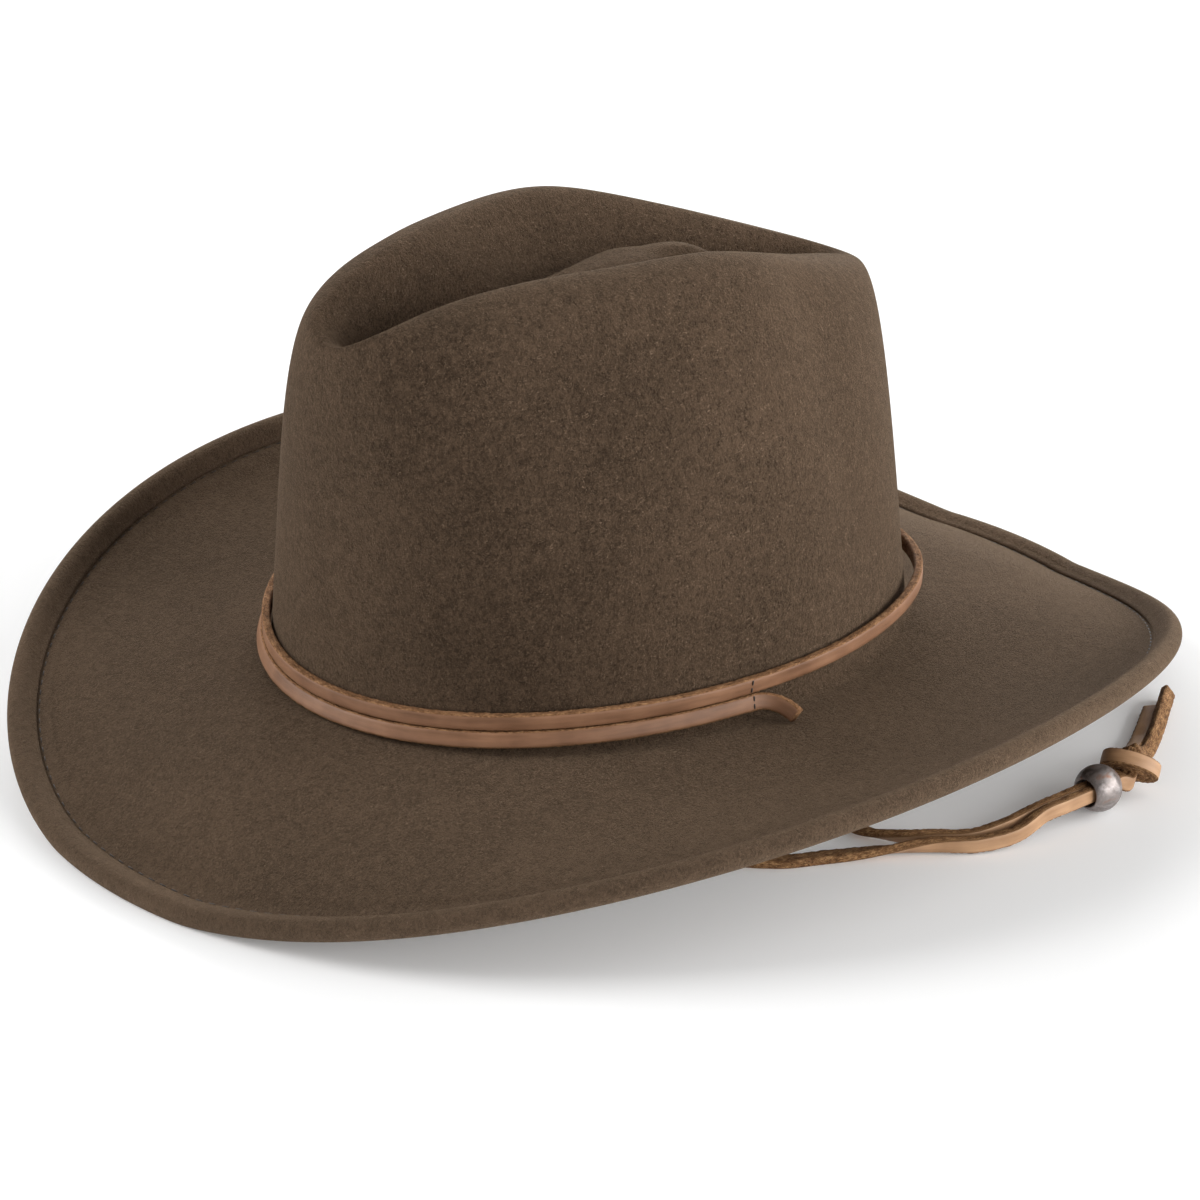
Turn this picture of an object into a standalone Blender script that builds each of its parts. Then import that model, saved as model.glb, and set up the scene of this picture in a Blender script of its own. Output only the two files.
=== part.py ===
"""Western felt hat with a teardrop crease, a lace hat band and a beaded chin cord.

Metres, +Z up. The hat stands on the front and back dips of its brim at z = 0.
-Y is the front of the hat and +X is the wearer's left. The origin is the middle
of the brim's outline, on the surface that the hat stands on.
"""
import bpy
import bmesh
import numpy as np
from math import pi, radians
from mathutils import Matrix, Vector

# Driving dimensions
BRIM_HALF_WIDTH = 0.168        # middle to the brim's edge, across
BRIM_HALF_LENGTH = 0.1845      # middle to the brim's edge, front to back
CROWN_HALF_WIDTH = 0.086       # outside of the crown at the brim break
CROWN_HALF_LENGTH = 0.1022
CROWN_SHIFT = -0.0032          # the crown sits this far towards the front
BREAK_HEIGHT = 0.0315          # where the crown turns into the brim
BREAK_SADDLE = 0.0008          # the break is lower at front and back, higher at the sides
BREAK_RADIUS = 0.0035
SIDE_RISE = 0.0394             # how far the brim's edge rises at the sides
SHOULDER_RISE = 0.0100         # extra rise between the sides and the feet
BACK_RISE = 0.0072             # extra rise behind the middle, and as much less before it
FELT = 0.0024                  # thickness of the felt
CLEAR = 0.0003                 # gap kept between neighbouring solids
LACE_WIDTH = 0.0048
LACE_THICK = 0.0025

# Ridge round the crease, seen from above
RIDGE_FRONT = 0.100
RIDGE_BACK = 0.096
RIDGE_HALF_WIDTH = 0.0385
RIDGE_WIDEST = 0.0134          # y of the widest place
RIDGE_TAPER_FRONT = 0.1056
RIDGE_TAPER_BACK = 0.0668
RIDGE_BLUNT = 30               # how square the ridge's front and back ends are
RIDGE_TOP = 0.1576
FRONT_FALL_FROM = -0.038       # in front of this y the ridge falls away as a parabola
FRONT_FALL_RUN = 0.056
FRONT_FALL = 0.0074            # its fall over that run
BACK_SLOPE_FROM = 0.0112       # behind this y it bends down into a straight slope
BACK_SLOPE_EASE = 0.018        # how gradual that bend is
BACK_SLOPE = 0.374
MOUTH_DIP = 0.006              # the low place where the crease opens to the front
MOUTH_HALF_WIDTH = 0.013
DOME = np.array([0.0, 0.012, 0.144])
DOME_BREADTH = 1.6             # a larger power makes a broader, flatter dome
CREASE_DEPTH = 0.020           # ridge to the bottom of the crease, at the sides
CREASE_FRONT_EXTRA = 0.006
CREASE_BACK_LESS = 0.008
VALLEY_HIGHEST = 0.135

# Rolled and sewn edge of the brim, with the wire inside it
ROLL_RADIUS = 0.0034
CHANNEL_RADIUS = 0.0017
ROLL_FOLD = 0.0050             # how far the turned-over felt reaches in from the wire
LAST_BRIM_ROW = 0.86           # share of the brim's width where the roll's section begins
FOOT_DIP = 0.0010              # what the standing surface presses flat off the roll
FOOT_SPREAD = 0.03             # sine squared of half the angle that each foot covers
WIRE_RADIUS = 0.0006
WIRE_GAP = radians(0.35)       # half the gap between the wire's ends, at the back
SPLICE_RADIUS = 0.00115
SPLICE_SPREAD = radians(2.8)   # half the splice's length, as an angle

# Sweatband
SWEATBAND_HEIGHT = 0.032
SWEATBAND_THICK = 0.0012
SWEATBAND_GAP = 0.0005
SWEATBAND_OPEN = 0.0012        # half the gap between its ends, at the back
SEAM_LIFT = 0.0042             # its stitching, above the break
REED_RADIUS = 0.001
THREAD_RADIUS = 0.0003
BOW_LIFT = 0.009
LABEL_ANGLE = radians(203)
LABEL_LIFT = 0.019
LABEL_GAP = 0.0011             # flat label, curved band
TACK_LIFT = 0.012
CORD_ANGLE = radians(96.43)    # where the chin cord goes up behind the sweatband
CORD_BULGE = 0.0046
CORD_BULGE_SPREAD = radians(7)

# Chin cord
CORD_RADIUS = 0.0017
PAIR_HALF_GAP = 0.00195        # half the distance between the two strands' middles
BEAD_RADIUS = 0.007
BEAD_BORE = 0.0041
BEAD_AT = Vector((0.1485, 0.0628, 0.0072))
KNOT_AT = BEAD_AT + Vector((0, 0.0148, 0))
KNOT_HALF = Vector((0.0082, 0.0082, 0.0066))

STEPS = 56                     # divisions round the hat
AROUND = np.arange(STEPS) * 2 * pi / STEPS

FELT_BROWN = (0.105, 0.075, 0.052)
LACE_TAN = (0.30, 0.165, 0.095)
LACE_OLD = (0.34, 0.20, 0.11)
DARK_THREAD = (0.03, 0.022, 0.018)


# ---------------------------------------------------------------- helpers

def clear_scene():
    for item in list(bpy.data.objects):
        bpy.data.objects.remove(item, do_unlink=True)


def material(name, colour, roughness=0.8, metallic=0.0):
    made = bpy.data.materials.new(name)
    made.use_nodes = True
    shader = made.node_tree.nodes["Principled BSDF"]
    shader.inputs["Base Color"].default_value = (*colour, 1.0)
    shader.inputs["Roughness"].default_value = roughness
    shader.inputs["Metallic"].default_value = metallic
    return made


def add_object(name, data, finish):
    made = bpy.data.objects.new(name, data)
    hat.objects.link(made)
    data.materials.append(finish)
    return made


def add_loft(name, rings, finish, closed_round=True, closed_along=False):
    """A closed solid from rings of points. A ring of one point is a pole."""
    mesh = bmesh.new()
    rows = [[mesh.verts.new(point) for point in ring] for ring in rings]
    pairs = list(zip(rows[:-1], rows[1:]))
    if closed_along:
        pairs.append((rows[-1], rows[0]))
    for one, two in pairs:
        count = max(len(one), len(two))
        last = count if closed_round else count - 1
        for i in range(last):
            j = (i + 1) % count
            corners = []
            for vertex in (one[i % len(one)], one[j % len(one)], two[j % len(two)], two[i % len(two)]):
                if vertex not in corners:
                    corners.append(vertex)
            mesh.faces.new(corners)
    if not closed_along:
        for ring in (rows[0], rows[-1]):
            if len(ring) > 2:
                mesh.faces.new(ring)
    bmesh.ops.recalc_face_normals(mesh, faces=mesh.faces)
    data = bpy.data.meshes.new(name)
    mesh.to_mesh(data)
    mesh.free()
    data.shade_smooth()
    data.set_sharp_from_angle(angle=radians(50))
    return add_object(name, data, finish)


def add_tube(name, points, radius, finish, cyclic=False):
    """A round cord, wire or thread along a list of points."""
    curve = bpy.data.curves.new(name, "CURVE")
    curve.dimensions = "3D"
    curve.bevel_depth = radius
    curve.bevel_resolution = 2
    curve.use_fill_caps = True
    line = curve.splines.new("POLY")
    line.points.add(len(points) - 1)
    for spot, point in zip(line.points, points):
        spot.co = (*point, 1.0)
    line.use_cyclic_u = cyclic
    return add_object(name, curve, finish)


def smooth_route(points, spacing):
    """Evenly spaced points on a smooth curve through the given ones (Catmull-Rom)."""
    knots = np.array(points, float)
    ends = np.vstack([2 * knots[0] - knots[1], knots, 2 * knots[-1] - knots[-2]])
    fine = []
    for a, b, c, d in zip(ends[:-3], ends[1:-2], ends[2:-1], ends[3:]):
        for s in np.linspace(0, 1, 24, endpoint=False):
            fine.append(0.5 * (2 * b + (c - a) * s + (2 * a - 5 * b + 4 * c - d) * s**2
                               + (3 * b - a - 3 * c + d) * s**3))
    fine = np.array(fine + [knots[-1]])
    run = np.r_[0, np.cumsum(np.linalg.norm(np.diff(fine, axis=0), axis=1))]
    count = int(round(run[-1] / spacing)) + 1
    wanted = np.linspace(0, run[-1], count)
    return np.stack([np.interp(wanted, run, fine[:, k]) for k in range(3)], axis=1)


def ease(low, high, x):
    part = np.clip((x - low) / (high - low), 0, 1)
    return part * part * (3 - 2 * part)


# ---------------------------------------------------------------- shape of the felt

def oval(t, grow=0.0):
    """Plan outline of the crown at the break. t is 0 at the front, 90 degrees at +X."""
    return np.stack([(CROWN_HALF_WIDTH + grow) * np.sin(t),
                     CROWN_SHIFT - (CROWN_HALF_LENGTH + grow) * np.cos(t)], axis=-1)


def oval_normal(t):
    raw = np.stack([CROWN_HALF_LENGTH * np.sin(t), -CROWN_HALF_WIDTH * np.cos(t)], axis=-1)
    return raw / np.linalg.norm(raw, axis=-1, keepdims=True)


def break_height(t):
    return BREAK_HEIGHT - BREAK_SADDLE * np.cos(2 * t)


def rim_height(t):
    """Height of the middle of the rolled edge: down at front and back, up at the sides."""
    front = np.cos(t)
    side = np.clip((np.sin(t)**2 - FOOT_SPREAD) / (1 - FOOT_SPREAD), 0, None)
    return ROLL_RADIUS - FOOT_DIP + side * (SIDE_RISE + SHOULDER_RISE * front**2 - BACK_RISE * front)


def ridge(t):
    """The crest round the crease, with its low mouth at the front."""
    front = np.cos(t)
    y = -np.where(front > 0, RIDGE_FRONT, RIDGE_BACK) * front
    taper = np.where(y < RIDGE_WIDEST, RIDGE_TAPER_FRONT, RIDGE_TAPER_BACK)
    width = RIDGE_HALF_WIDTH * np.exp(-((y - RIDGE_WIDEST) / taper)**2)
    x = np.sign(np.sin(t)) * width * np.sqrt(np.maximum(0, 1 - np.abs(front)**RIDGE_BLUNT))
    ahead = np.clip((FRONT_FALL_FROM - y) / FRONT_FALL_RUN, 0, None)
    behind = y - BACK_SLOPE_FROM + np.hypot(y - BACK_SLOPE_FROM, BACK_SLOPE_EASE)
    mouth = np.exp(-(x / MOUTH_HALF_WIDTH)**2) * ease(-0.06, -0.09, y)
    z = RIDGE_TOP - FRONT_FALL * ahead**2 - BACK_SLOPE * behind / 2 - MOUTH_DIP * mouth
    return np.stack([x, y, z], axis=-1)


def shoulder_power(t):
    """How square the turn from wall to ridge is: soft at the sides, squarer at the back."""
    front = np.cos(t)
    return 2.0 + 3.4 * ease(0.3, 1, -front) + 0.4 * ease(0.5, 0.95, front)


def wall(t, g):
    """A point on the outside of the crown: g is 0 at the break and 1 on the ridge."""
    top = ridge(t)
    foot = np.column_stack([oval(t), break_height(t) + BREAK_RADIUS])
    power = shoulder_power(t)
    lean = 0.22 + 0.18 * ease(0, 0.8, -np.cos(t))
    turn = lean * g + (1 - lean) * (1 - (1 - np.minimum(g, 1)**power)**(1 / power))
    point = foot.copy()
    point[:, :2] += (top[:, :2] - foot[:, :2]) * turn[:, None]
    point[:, 2] += (top[:, 2] - foot[:, 2]) * g
    return point


def wall_at(t, height):
    """The outside of the crown at a given height, in plan."""
    foot = break_height(t) + BREAK_RADIUS
    g = np.clip((height - foot) / (ridge(t)[:, 2] - foot), 0, 1)
    return wall(t, g)[:, :2]


def wall_row(t, share):
    """A row of the wall mesh; rows gather towards the ridge, where the felt turns."""
    return wall(t, np.sin(share * pi / 2)**(2 / shoulder_power(t)))


def tip_row(t, v):
    """A row of the crease: v is 0 at the middle of the dome and 1 on the ridge."""
    top = ridge(t)
    front = np.cos(t)
    point = DOME + (top - DOME) * v
    depth = CREASE_DEPTH + CREASE_FRONT_EXTRA * ease(0.3, 1, front) - CREASE_BACK_LESS * ease(0.2, 1, -front)
    valley = np.minimum(top[:, 2] - depth, VALLEY_HIGHEST)
    ditch = 0.52 + 0.24 * ease(0.5, 1, front) + 0.22 * ease(0.5, 1, -front)
    fall = 0.5 - 0.5 * np.cos(np.clip(v / ditch, 0, 1)**DOME_BREADTH * pi)
    climb = 0.5 - 0.5 * np.cos(np.clip((v - ditch) / (1 - ditch), 0, 1)**0.9 * pi)
    inner = DOME[2] + (valley - DOME[2]) * fall
    outer = valley + (top[:, 2] - valley) * climb
    point[:, 2] = np.where(v < ditch, inner, outer)
    return point


def break_row(t, angle):
    out = BREAK_RADIUS * (1 - np.cos(angle))
    down = BREAK_RADIUS * (1 - np.sin(angle))
    return np.column_stack([oval(t, out), break_height(t) + down])


def roll_middle(t):
    """The line that the brim wire follows, inside the rolled edge."""
    return np.stack([(BRIM_HALF_WIDTH - ROLL_RADIUS) * np.sin(t),
                     -(BRIM_HALF_LENGTH - ROLL_RADIUS) * np.cos(t),
                     rim_height(t)], axis=-1)


def brim_row(t, s):
    """A row of the brim's top: s is 0 at the break and 1 under the wire."""
    inner = np.column_stack([oval(t, BREAK_RADIUS), break_height(t)])
    outer = roll_middle(t)
    outer[:, 2] -= CHANNEL_RADIUS
    side = np.sin(t)**2
    width = BRIM_HALF_WIDTH - CROWN_HALF_WIDTH
    start = -(0.20 - 0.10 * side) * width
    rise = outer[:, 2] - inner[:, 2]
    point = inner + (outer - inner) * s
    point[:, 2] = inner[:, 2] + start * s + (rise - start) * s**(2 + 0.8 * side)
    return point


def row_normals(rows):
    """Outward directions of a grid of rows that runs from the dome to the brim."""
    grid = np.array(rows)
    round_hat = np.roll(grid, -1, axis=1) - np.roll(grid, 1, axis=1)
    down = np.gradient(grid, axis=0)
    normal = np.cross(down, round_hat)
    return normal / np.linalg.norm(normal, axis=2, keepdims=True)


def roll_section():
    """The rolled edge's outline as (outwards, upwards) from the wire, from the
    brim's top, round the channel, along the fold and round the outside."""
    fold_inner = -ROLL_FOLD
    slit = -CHANNEL_RADIUS + 0.00035
    points = [(-CHANNEL_RADIUS, -CHANNEL_RADIUS)]
    for angle in np.radians([-60, -20, 20, 60]):
        points.append((CHANNEL_RADIUS * np.cos(angle), CHANNEL_RADIUS * np.sin(angle)))
    points += [(-0.0002, CHANNEL_RADIUS), (fold_inner, slit)]
    points += [(fold_inner - 0.0004, slit + 0.0008), (fold_inner + 0.0004, slit + 0.0016)]
    for angle in np.radians([100, 65, 30, 0, -25, -50, -72, -94]):
        points.append((ROLL_RADIUS * np.cos(angle), ROLL_RADIUS * np.sin(angle)))
    return points


def roll_frame(t):
    """Middle of the roll, with its outward direction along the brim and its upward one."""
    middle = roll_middle(t)
    out = middle - brim_row(t, LAST_BRIM_ROW)
    out[:, 2] -= CHANNEL_RADIUS
    out /= np.linalg.norm(out, axis=1)[:, None]
    along = roll_middle(t + 0.01) - roll_middle(t - 0.01)
    up = np.cross(out, along)
    up /= np.linalg.norm(up, axis=1)[:, None]
    return middle, out, up


def roll_rows(t):
    """Rows round the rolled edge. Below z = 0 it is pressed flat: the hat's feet."""
    middle, out, up = roll_frame(t)
    rows = []
    for a, b in roll_section():
        row = middle + a * out + b * up
        row[:, 2] = np.maximum(row[:, 2], 0)
        rows.append(row)
    return rows


def make_felt_body(finish):
    """Crown and brim: one piece of felt, with its edge rolled over the brim wire."""
    t = AROUND
    top = [tip_row(t, v) for v in (0.14, 0.3, 0.45, 0.6, 0.72, 0.84, 0.93)]
    top += [wall_row(t, share) for share in (1, 0.86, 0.72, 0.58, 0.43, 0.28, 0.14, 0)]
    top += [break_row(t, radians(45))]
    top += [brim_row(t, s) for s in (0, 0.22, 0.45, 0.68, LAST_BRIM_ROW)]
    under = [row - FELT * normal for row, normal in zip(top, row_normals(top))]
    roll = roll_rows(t)
    floor = [np.column_stack([row[:, :2], np.maximum(row[:, 2], 0)]) for row in under]
    dome_under = DOME - np.array([0, 0, FELT])
    rings = [[DOME], *top, *roll, *reversed(floor), [dome_under]]
    return add_loft("felt_body", rings, finish)


# ---------------------------------------------------------------- brim edge

def ring_points(place):
    return [tuple(point) for point in place(AROUND)]


def make_brim_wire(finish):
    """Spring wire inside the rolled edge; its two ends meet in the splice at the back."""
    back = STEPS // 2
    ends = [pi + WIRE_GAP, pi + SPLICE_SPREAD]
    angles = np.r_[ends, AROUND[back + 1:], AROUND[:back] + 2 * pi, [4 * pi - end for end in reversed(ends)]]
    add_tube("brim_wire", [tuple(point) for point in roll_middle(angles)], WIRE_RADIUS, finish)


def make_wire_splice(finish):
    """Open tube that holds the two ends of the brim wire together."""
    angles = pi + SPLICE_SPREAD * np.linspace(-1, 1, 3)
    middles = roll_middle(angles)
    turns = np.linspace(0, 2 * pi, 10, endpoint=False)
    rings = []
    for radius, order in ((WIRE_RADIUS + CLEAR, (0, 1, 2)), (SPLICE_RADIUS, (2, 1, 0))):
        for i in order:
            side = np.array([np.sin(angles[i]), -np.cos(angles[i]), 0])
            up = np.array([0, 0, 1])
            rings.append([middles[i] + radius * (np.cos(a) * side + np.sin(a) * up) for a in turns])
    add_loft("wire_splice", rings, finish, closed_along=True)


def make_edge_stitching(finish):
    """Thread along the free edge of the rolled felt."""
    inwards = ROLL_FOLD + 0.0015
    drop = CHANNEL_RADIUS - CLEAR - THREAD_RADIUS

    def place(t):
        middle, out, up = roll_frame(t)
        return middle - inwards * out - drop * up

    add_tube("edge_stitching", ring_points(place), THREAD_RADIUS, finish, cyclic=True)


# ---------------------------------------------------------------- sweatband

def cord_bulge(t):
    """How far the sweatband stands in where the chin cord runs up behind it."""
    total = 0
    for middle in (CORD_ANGLE, 2 * pi - CORD_ANGLE):
        away = (t - middle + pi) % (2 * pi) - pi
        total = total + CORD_BULGE * np.exp(-(away / CORD_BULGE_SPREAD)**2)
    return total


def inside_point(t, lift, depth):
    """A point inside the crown: lift above the break, depth in from the outer face."""
    height = break_height(t) + lift
    inwards = depth + cord_bulge(t)
    plan = wall_at(t, height) - oval_normal(t) * inwards[:, None]
    return np.column_stack([plan, height])


def make_sweatband(finish):
    """Leather strip round the inside of the crown, with its ends meeting at the back."""
    gap = SWEATBAND_OPEN / CROWN_HALF_LENGTH
    angles = np.r_[pi + gap, AROUND[STEPS // 2 + 1:], AROUND[:STEPS // 2] + 2 * pi, 3 * pi - gap]
    near, far = FELT + SWEATBAND_GAP, FELT + SWEATBAND_GAP + SWEATBAND_THICK
    levels = np.linspace(REED_RADIUS, SWEATBAND_HEIGHT, 4)
    rows = [inside_point(angles, lift, near) for lift in levels]
    rows += [inside_point(angles, lift, far) for lift in levels[::-1]]
    rings = [[row[i] for row in rows] for i in range(len(angles))]
    add_loft("sweatband", rings, finish)


def make_sweatband_reed(finish):
    """Cord in the sweatband's lower edge, which bears on the felt at the break."""
    depth = FELT + SWEATBAND_GAP + REED_RADIUS

    def place(t):
        return inside_point(t, -CLEAR, depth)

    add_tube("sweatband_reed", ring_points(place), REED_RADIUS, finish, cyclic=True)


def make_sweatband_stitching(finish):
    """Thread along the seam that holds the sweatband over its reed."""
    depth = FELT + SWEATBAND_GAP + SWEATBAND_THICK + CLEAR + THREAD_RADIUS

    def place(t):
        return inside_point(t, SEAM_LIFT, depth)

    add_tube("sweatband_stitching", ring_points(place), THREAD_RADIUS, finish, cyclic=True)


def on_sweatband(angle, lift, gap):
    """A place on the sweatband's inner face and the direction in towards the head."""
    t = np.array([angle])
    depth = FELT + SWEATBAND_GAP + SWEATBAND_THICK + gap
    point = inside_point(t, lift, depth)[0]
    above = inside_point(t, lift + 0.01, depth)[0]
    inwards = -oval_normal(t)[0]
    return Vector(point), Vector((*inwards, 0)), Vector(above - point).normalized()


def add_plate(name, outline, thick, place, finish, bevel=0.0):
    """A flat plate with the given (across, up) outline, standing on the sweatband."""
    point, inwards, up = place
    across = inwards.cross(up).normalized()
    facing = up.cross(across).normalized()
    rings = [[point + across * a + up * b + facing * (-depth) for a, b in outline] for depth in (0, -thick)]
    plate = add_loft(name, rings, finish)
    if bevel:
        rounding = plate.modifiers.new("rounding", "BEVEL")
        rounding.width = bevel
        rounding.segments = 2
    return plate


def make_sweatband_bow(finish):
    """Small ribbon bow where the sweatband's ends meet."""
    half = [(0.0, 0.0014), (0.0035, 0.0020), (0.0085, 0.0042), (0.0092, 0.0036)]
    right = half + [(a, -b) for a, b in reversed(half)][:-1]
    left = [(-a, -b) for a, b in half] + [(-a, b) for a, b in reversed(half)][:-1]
    add_plate("sweatband_bow", right + left, 0.0012, on_sweatband(pi, BOW_LIFT, 3 * CLEAR), finish)


def make_size_label(finish):
    outline = [(-0.009, -0.005), (0.009, -0.005), (0.009, 0.005), (-0.009, 0.005)]
    add_plate("size_label", outline, 0.0005, on_sweatband(LABEL_ANGLE, LABEL_LIFT, LABEL_GAP), finish, bevel=0.0001)


def make_cord_tacks(finish):
    """Bar of thread that holds each end of the chin cord behind the sweatband."""
    outline = [(-0.003, -0.0006), (0.003, -0.0006), (0.003, 0.0006), (-0.003, 0.0006)]
    for side, angle in (("left", CORD_ANGLE), ("right", 2 * pi - CORD_ANGLE)):
        add_plate(f"cord_tack_{side}", outline, 0.0007, on_sweatband(angle, TACK_LIFT, 0.0004), finish)


# ---------------------------------------------------------------- hat band

JOINT_ANGLE = radians(81.5)    # where the lace is sewn to itself, on the wearer's left
LOOSE_END = 0.014              # length of the loose end past the joint
LOOSE_CURL = radians(80)       # how far the loose end curls away from the crown
LOOSE_DROP = 0.0036            # how far its cut end hangs down
WRAP = radians(490)            # how far the lace runs round the crown from the joint
CLIMB_FROM = radians(180)      # the first turn climbs on to the second behind the crown
CLIMB_TO = radians(290)
STAND_OFF = 0.0026             # the lace bows away from the crown at the back left
STAND_OFF_ANGLE = radians(148)
STAND_OFF_SPREAD = radians(22)
BAND_TOP = 0.0436              # mean height of the band's upper edge
BAND_SADDLE = 0.0022
TURN_GAP = 0.0004              # between the first turn and the second one above it
FIRST_TURN_OUT = 0.0014        # the first turn stands this much further out
END_STITCH = radians(5)        # from the hidden end of the lace back to its stitch


def band_height(t, upper):
    """Height of the lace's middle: upper is 0 for the first turn, 1 for the second."""
    top = BAND_TOP - BAND_SADDLE * np.cos(2 * t)
    return top - LACE_WIDTH / 2 - (1 - upper) * (LACE_WIDTH + TURN_GAP)


def wound_lace(run):
    """Middle of the lace after it has run this far round from the joint."""
    t = JOINT_ANGLE - run
    upper = ease(CLIMB_FROM, CLIMB_TO, run)
    away = (t - STAND_OFF_ANGLE + pi) % (2 * pi) - pi
    gap = 2 * CLEAR + LACE_THICK / 2 + FIRST_TURN_OUT * (1 - upper)
    gap = gap + STAND_OFF * np.exp(-(away / STAND_OFF_SPREAD)**2)
    plan = oval(t) + oval_normal(t) * gap[:, None]
    return np.column_stack([plan, band_height(t, upper)])


def loose_lace(share):
    """Middle of the loose end: share is 0 at the joint and 1 at the cut."""
    start = wound_lace(np.zeros(1))[0]
    outwards = oval_normal(np.array([JOINT_ANGLE]))[0]
    onwards = np.array([-outwards[1], outwards[0]])
    radius = LOOSE_END / LOOSE_CURL
    turned = LOOSE_CURL * share[:, None]
    plan = start[:2] + radius * (onwards * np.sin(turned) + outwards * (1 - np.cos(turned)))
    return np.column_stack([plan, start[2] - LOOSE_DROP * share**2])


def make_hat_band_lace(finish):
    """One leather lace, wound nearly one and a half times round the crown."""
    loose = loose_lace(np.linspace(1, 0, 7)[:-1])
    wound = wound_lace(np.linspace(0, WRAP, 78))
    middle = np.vstack([loose, wound])
    along = np.gradient(middle, axis=0)
    out = np.cross([0, 0, 1], along)
    out *= (LACE_THICK / 2) / np.linalg.norm(out, axis=1)[:, None]
    up = np.array([0, 0, LACE_WIDTH / 2])
    rings = [[m + o + up, m + o - up, m - o - up, m - o + up] for m, o in zip(middle, out)]
    add_loft("hat_band_lace", rings, finish)


def make_band_stitches(finish):
    """Thread across both turns of the lace, at the joint and at the hidden end."""
    radius = 0.00035
    reach = 0.0018                 # how far a stitch runs past the middle of each turn
    for name, first_turn in (("joint", 0.0), ("end", WRAP - END_STITCH - 2 * pi)):
        low, high = wound_lace(np.array([first_turn, first_turn + 2 * pi]))
        outwards = oval_normal(np.array([JOINT_ANGLE - first_turn]))[0]
        plan = low[:2] + outwards * (LACE_THICK / 2 + CLEAR + radius)
        heights = np.linspace(high[2] + reach, low[2] - reach, 5)
        add_tube(f"band_stitch_{name}", [(*plan, height) for height in heights], radius, finish)


# ---------------------------------------------------------------- chin cord

def beside_bead(along, side):
    """A point on a strand in the pair's straight stretch: side is 1 or -1."""
    return (BEAD_AT.x + side * PAIR_HALF_GAP, BEAD_AT.y + along, BEAD_AT.z)


FLOOR = CORD_RADIUS + CLEAR
LEFT_ROUTE = [
    (0.0797, 0.0078, 0.0455), (0.0804, 0.0078, 0.0390), (0.0805, 0.0078, 0.0320), (0.0800, 0.0080, 0.0240),
    (0.0775, 0.0085, 0.0140), (0.0700, 0.0100, 0.0050), (0.0560, 0.0110, FLOOR), (0.0360, 0.0080, FLOOR),
    (0.0220, -0.0070, FLOOR), (0.0240, -0.0280, FLOOR), (0.0440, -0.0430, FLOOR), (0.0740, -0.0450, FLOOR),
    (0.0990, -0.0420, FLOOR), (0.1130, -0.0320, FLOOR), (0.1205, -0.0190, FLOOR), (0.1290, -0.0050, FLOOR),
    (0.1370, 0.0075, 0.0022), (0.1445, 0.0165, 0.0028), (0.1488, 0.0270, 0.0046),
    *(beside_bead(along, 1) for along in (-0.0240, -0.0160, -0.0050, 0.0060)),
]
RIGHT_ROUTE = [
    (-0.0797, 0.0078, 0.0455), (-0.0804, 0.0078, 0.0390), (-0.0805, 0.0078, 0.0320), (-0.0802, 0.0084, 0.0240),
    (-0.0785, 0.0110, 0.0140), (-0.0720, 0.0170, 0.0050), (-0.0600, 0.0250, FLOOR), (-0.0380, 0.0370, FLOOR),
    (-0.0080, 0.0430, FLOOR), (0.0240, 0.0430, FLOOR), (0.0520, 0.0370, FLOOR), (0.0760, 0.0250, FLOOR),
    (0.0960, 0.0090, FLOOR), (0.1130, -0.0005, FLOOR), (0.1255, 0.0030, FLOOR), (0.1335, 0.0108, 0.0022),
    (0.1408, 0.0190, 0.0030), (0.1447, 0.0285, 0.0048),
    *(beside_bead(along, -1) for along in (-0.0240, -0.0160, -0.0050, 0.0060)),
]
LEFT_TAIL = [(0.1480, 0.0870, 0.0040), (0.1430, 0.0905, 0.0026), (0.1378, 0.0962, 0.0020),
             (0.1300, 0.1075, 0.0020), (0.1208, 0.1208, 0.0020), (0.1118, 0.1337, 0.0020)]
RIGHT_TAIL = [(0.1420, 0.0862, 0.0040), (0.1375, 0.0898, 0.0026), (0.1325, 0.0960, 0.0020),
              (0.1240, 0.1090, 0.0020), (0.1152, 0.1224, 0.0020)]
CORD_STEP = 0.0062             # between a strand's points


def make_chin_cord(finish):
    """Two strands, from behind the sweatband through the bead to the knot, and their
    two cut ends, which lie flat behind the knot."""
    for name, route in (("left", LEFT_ROUTE), ("right", RIGHT_ROUTE),
                        ("tail_left", LEFT_TAIL), ("tail_right", RIGHT_TAIL)):
        points = [tuple(point) for point in smooth_route(route, CORD_STEP)]
        add_tube(f"chin_cord_{name}", points, CORD_RADIUS, finish)


def make_knot(finish):
    """Overhand knot that both strands are tied in, as its outer shape."""
    bpy.ops.mesh.primitive_uv_sphere_add(segments=16, ring_count=10, radius=1.0)
    knot = bpy.context.object
    knot.name = "chin_cord_knot"
    knot.data.transform(Matrix.Diagonal((*KNOT_HALF, 1.0)))
    knot.location = KNOT_AT
    knot.data.materials.append(finish)
    knot.data.shade_smooth()
    for owner in list(knot.users_collection):
        owner.objects.unlink(knot)
    hat.objects.link(knot)


def make_bead(finish):
    """Metal bead that slides along both strands to tighten the cord."""
    holder = bpy.data.objects.new("bead_axis", None)
    holder.location = BEAD_AT
    holder.rotation_euler = (-pi / 2, 0, 0)
    hat.objects.link(holder)
    edge = np.arcsin(BEAD_BORE / BEAD_RADIUS)
    profile = [(BEAD_RADIUS * np.sin(a), BEAD_RADIUS * np.cos(a)) for a in np.linspace(edge, pi - edge, 13)]
    rings = []
    for turn in np.linspace(0, 2 * pi, 24, endpoint=False):
        rings.append([(r * np.cos(turn), r * np.sin(turn), z) for r, z in profile])
    bead = add_loft("cord_bead", rings, finish, closed_along=True)
    bead.parent = holder


# ---------------------------------------------------------------- the hat

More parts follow.
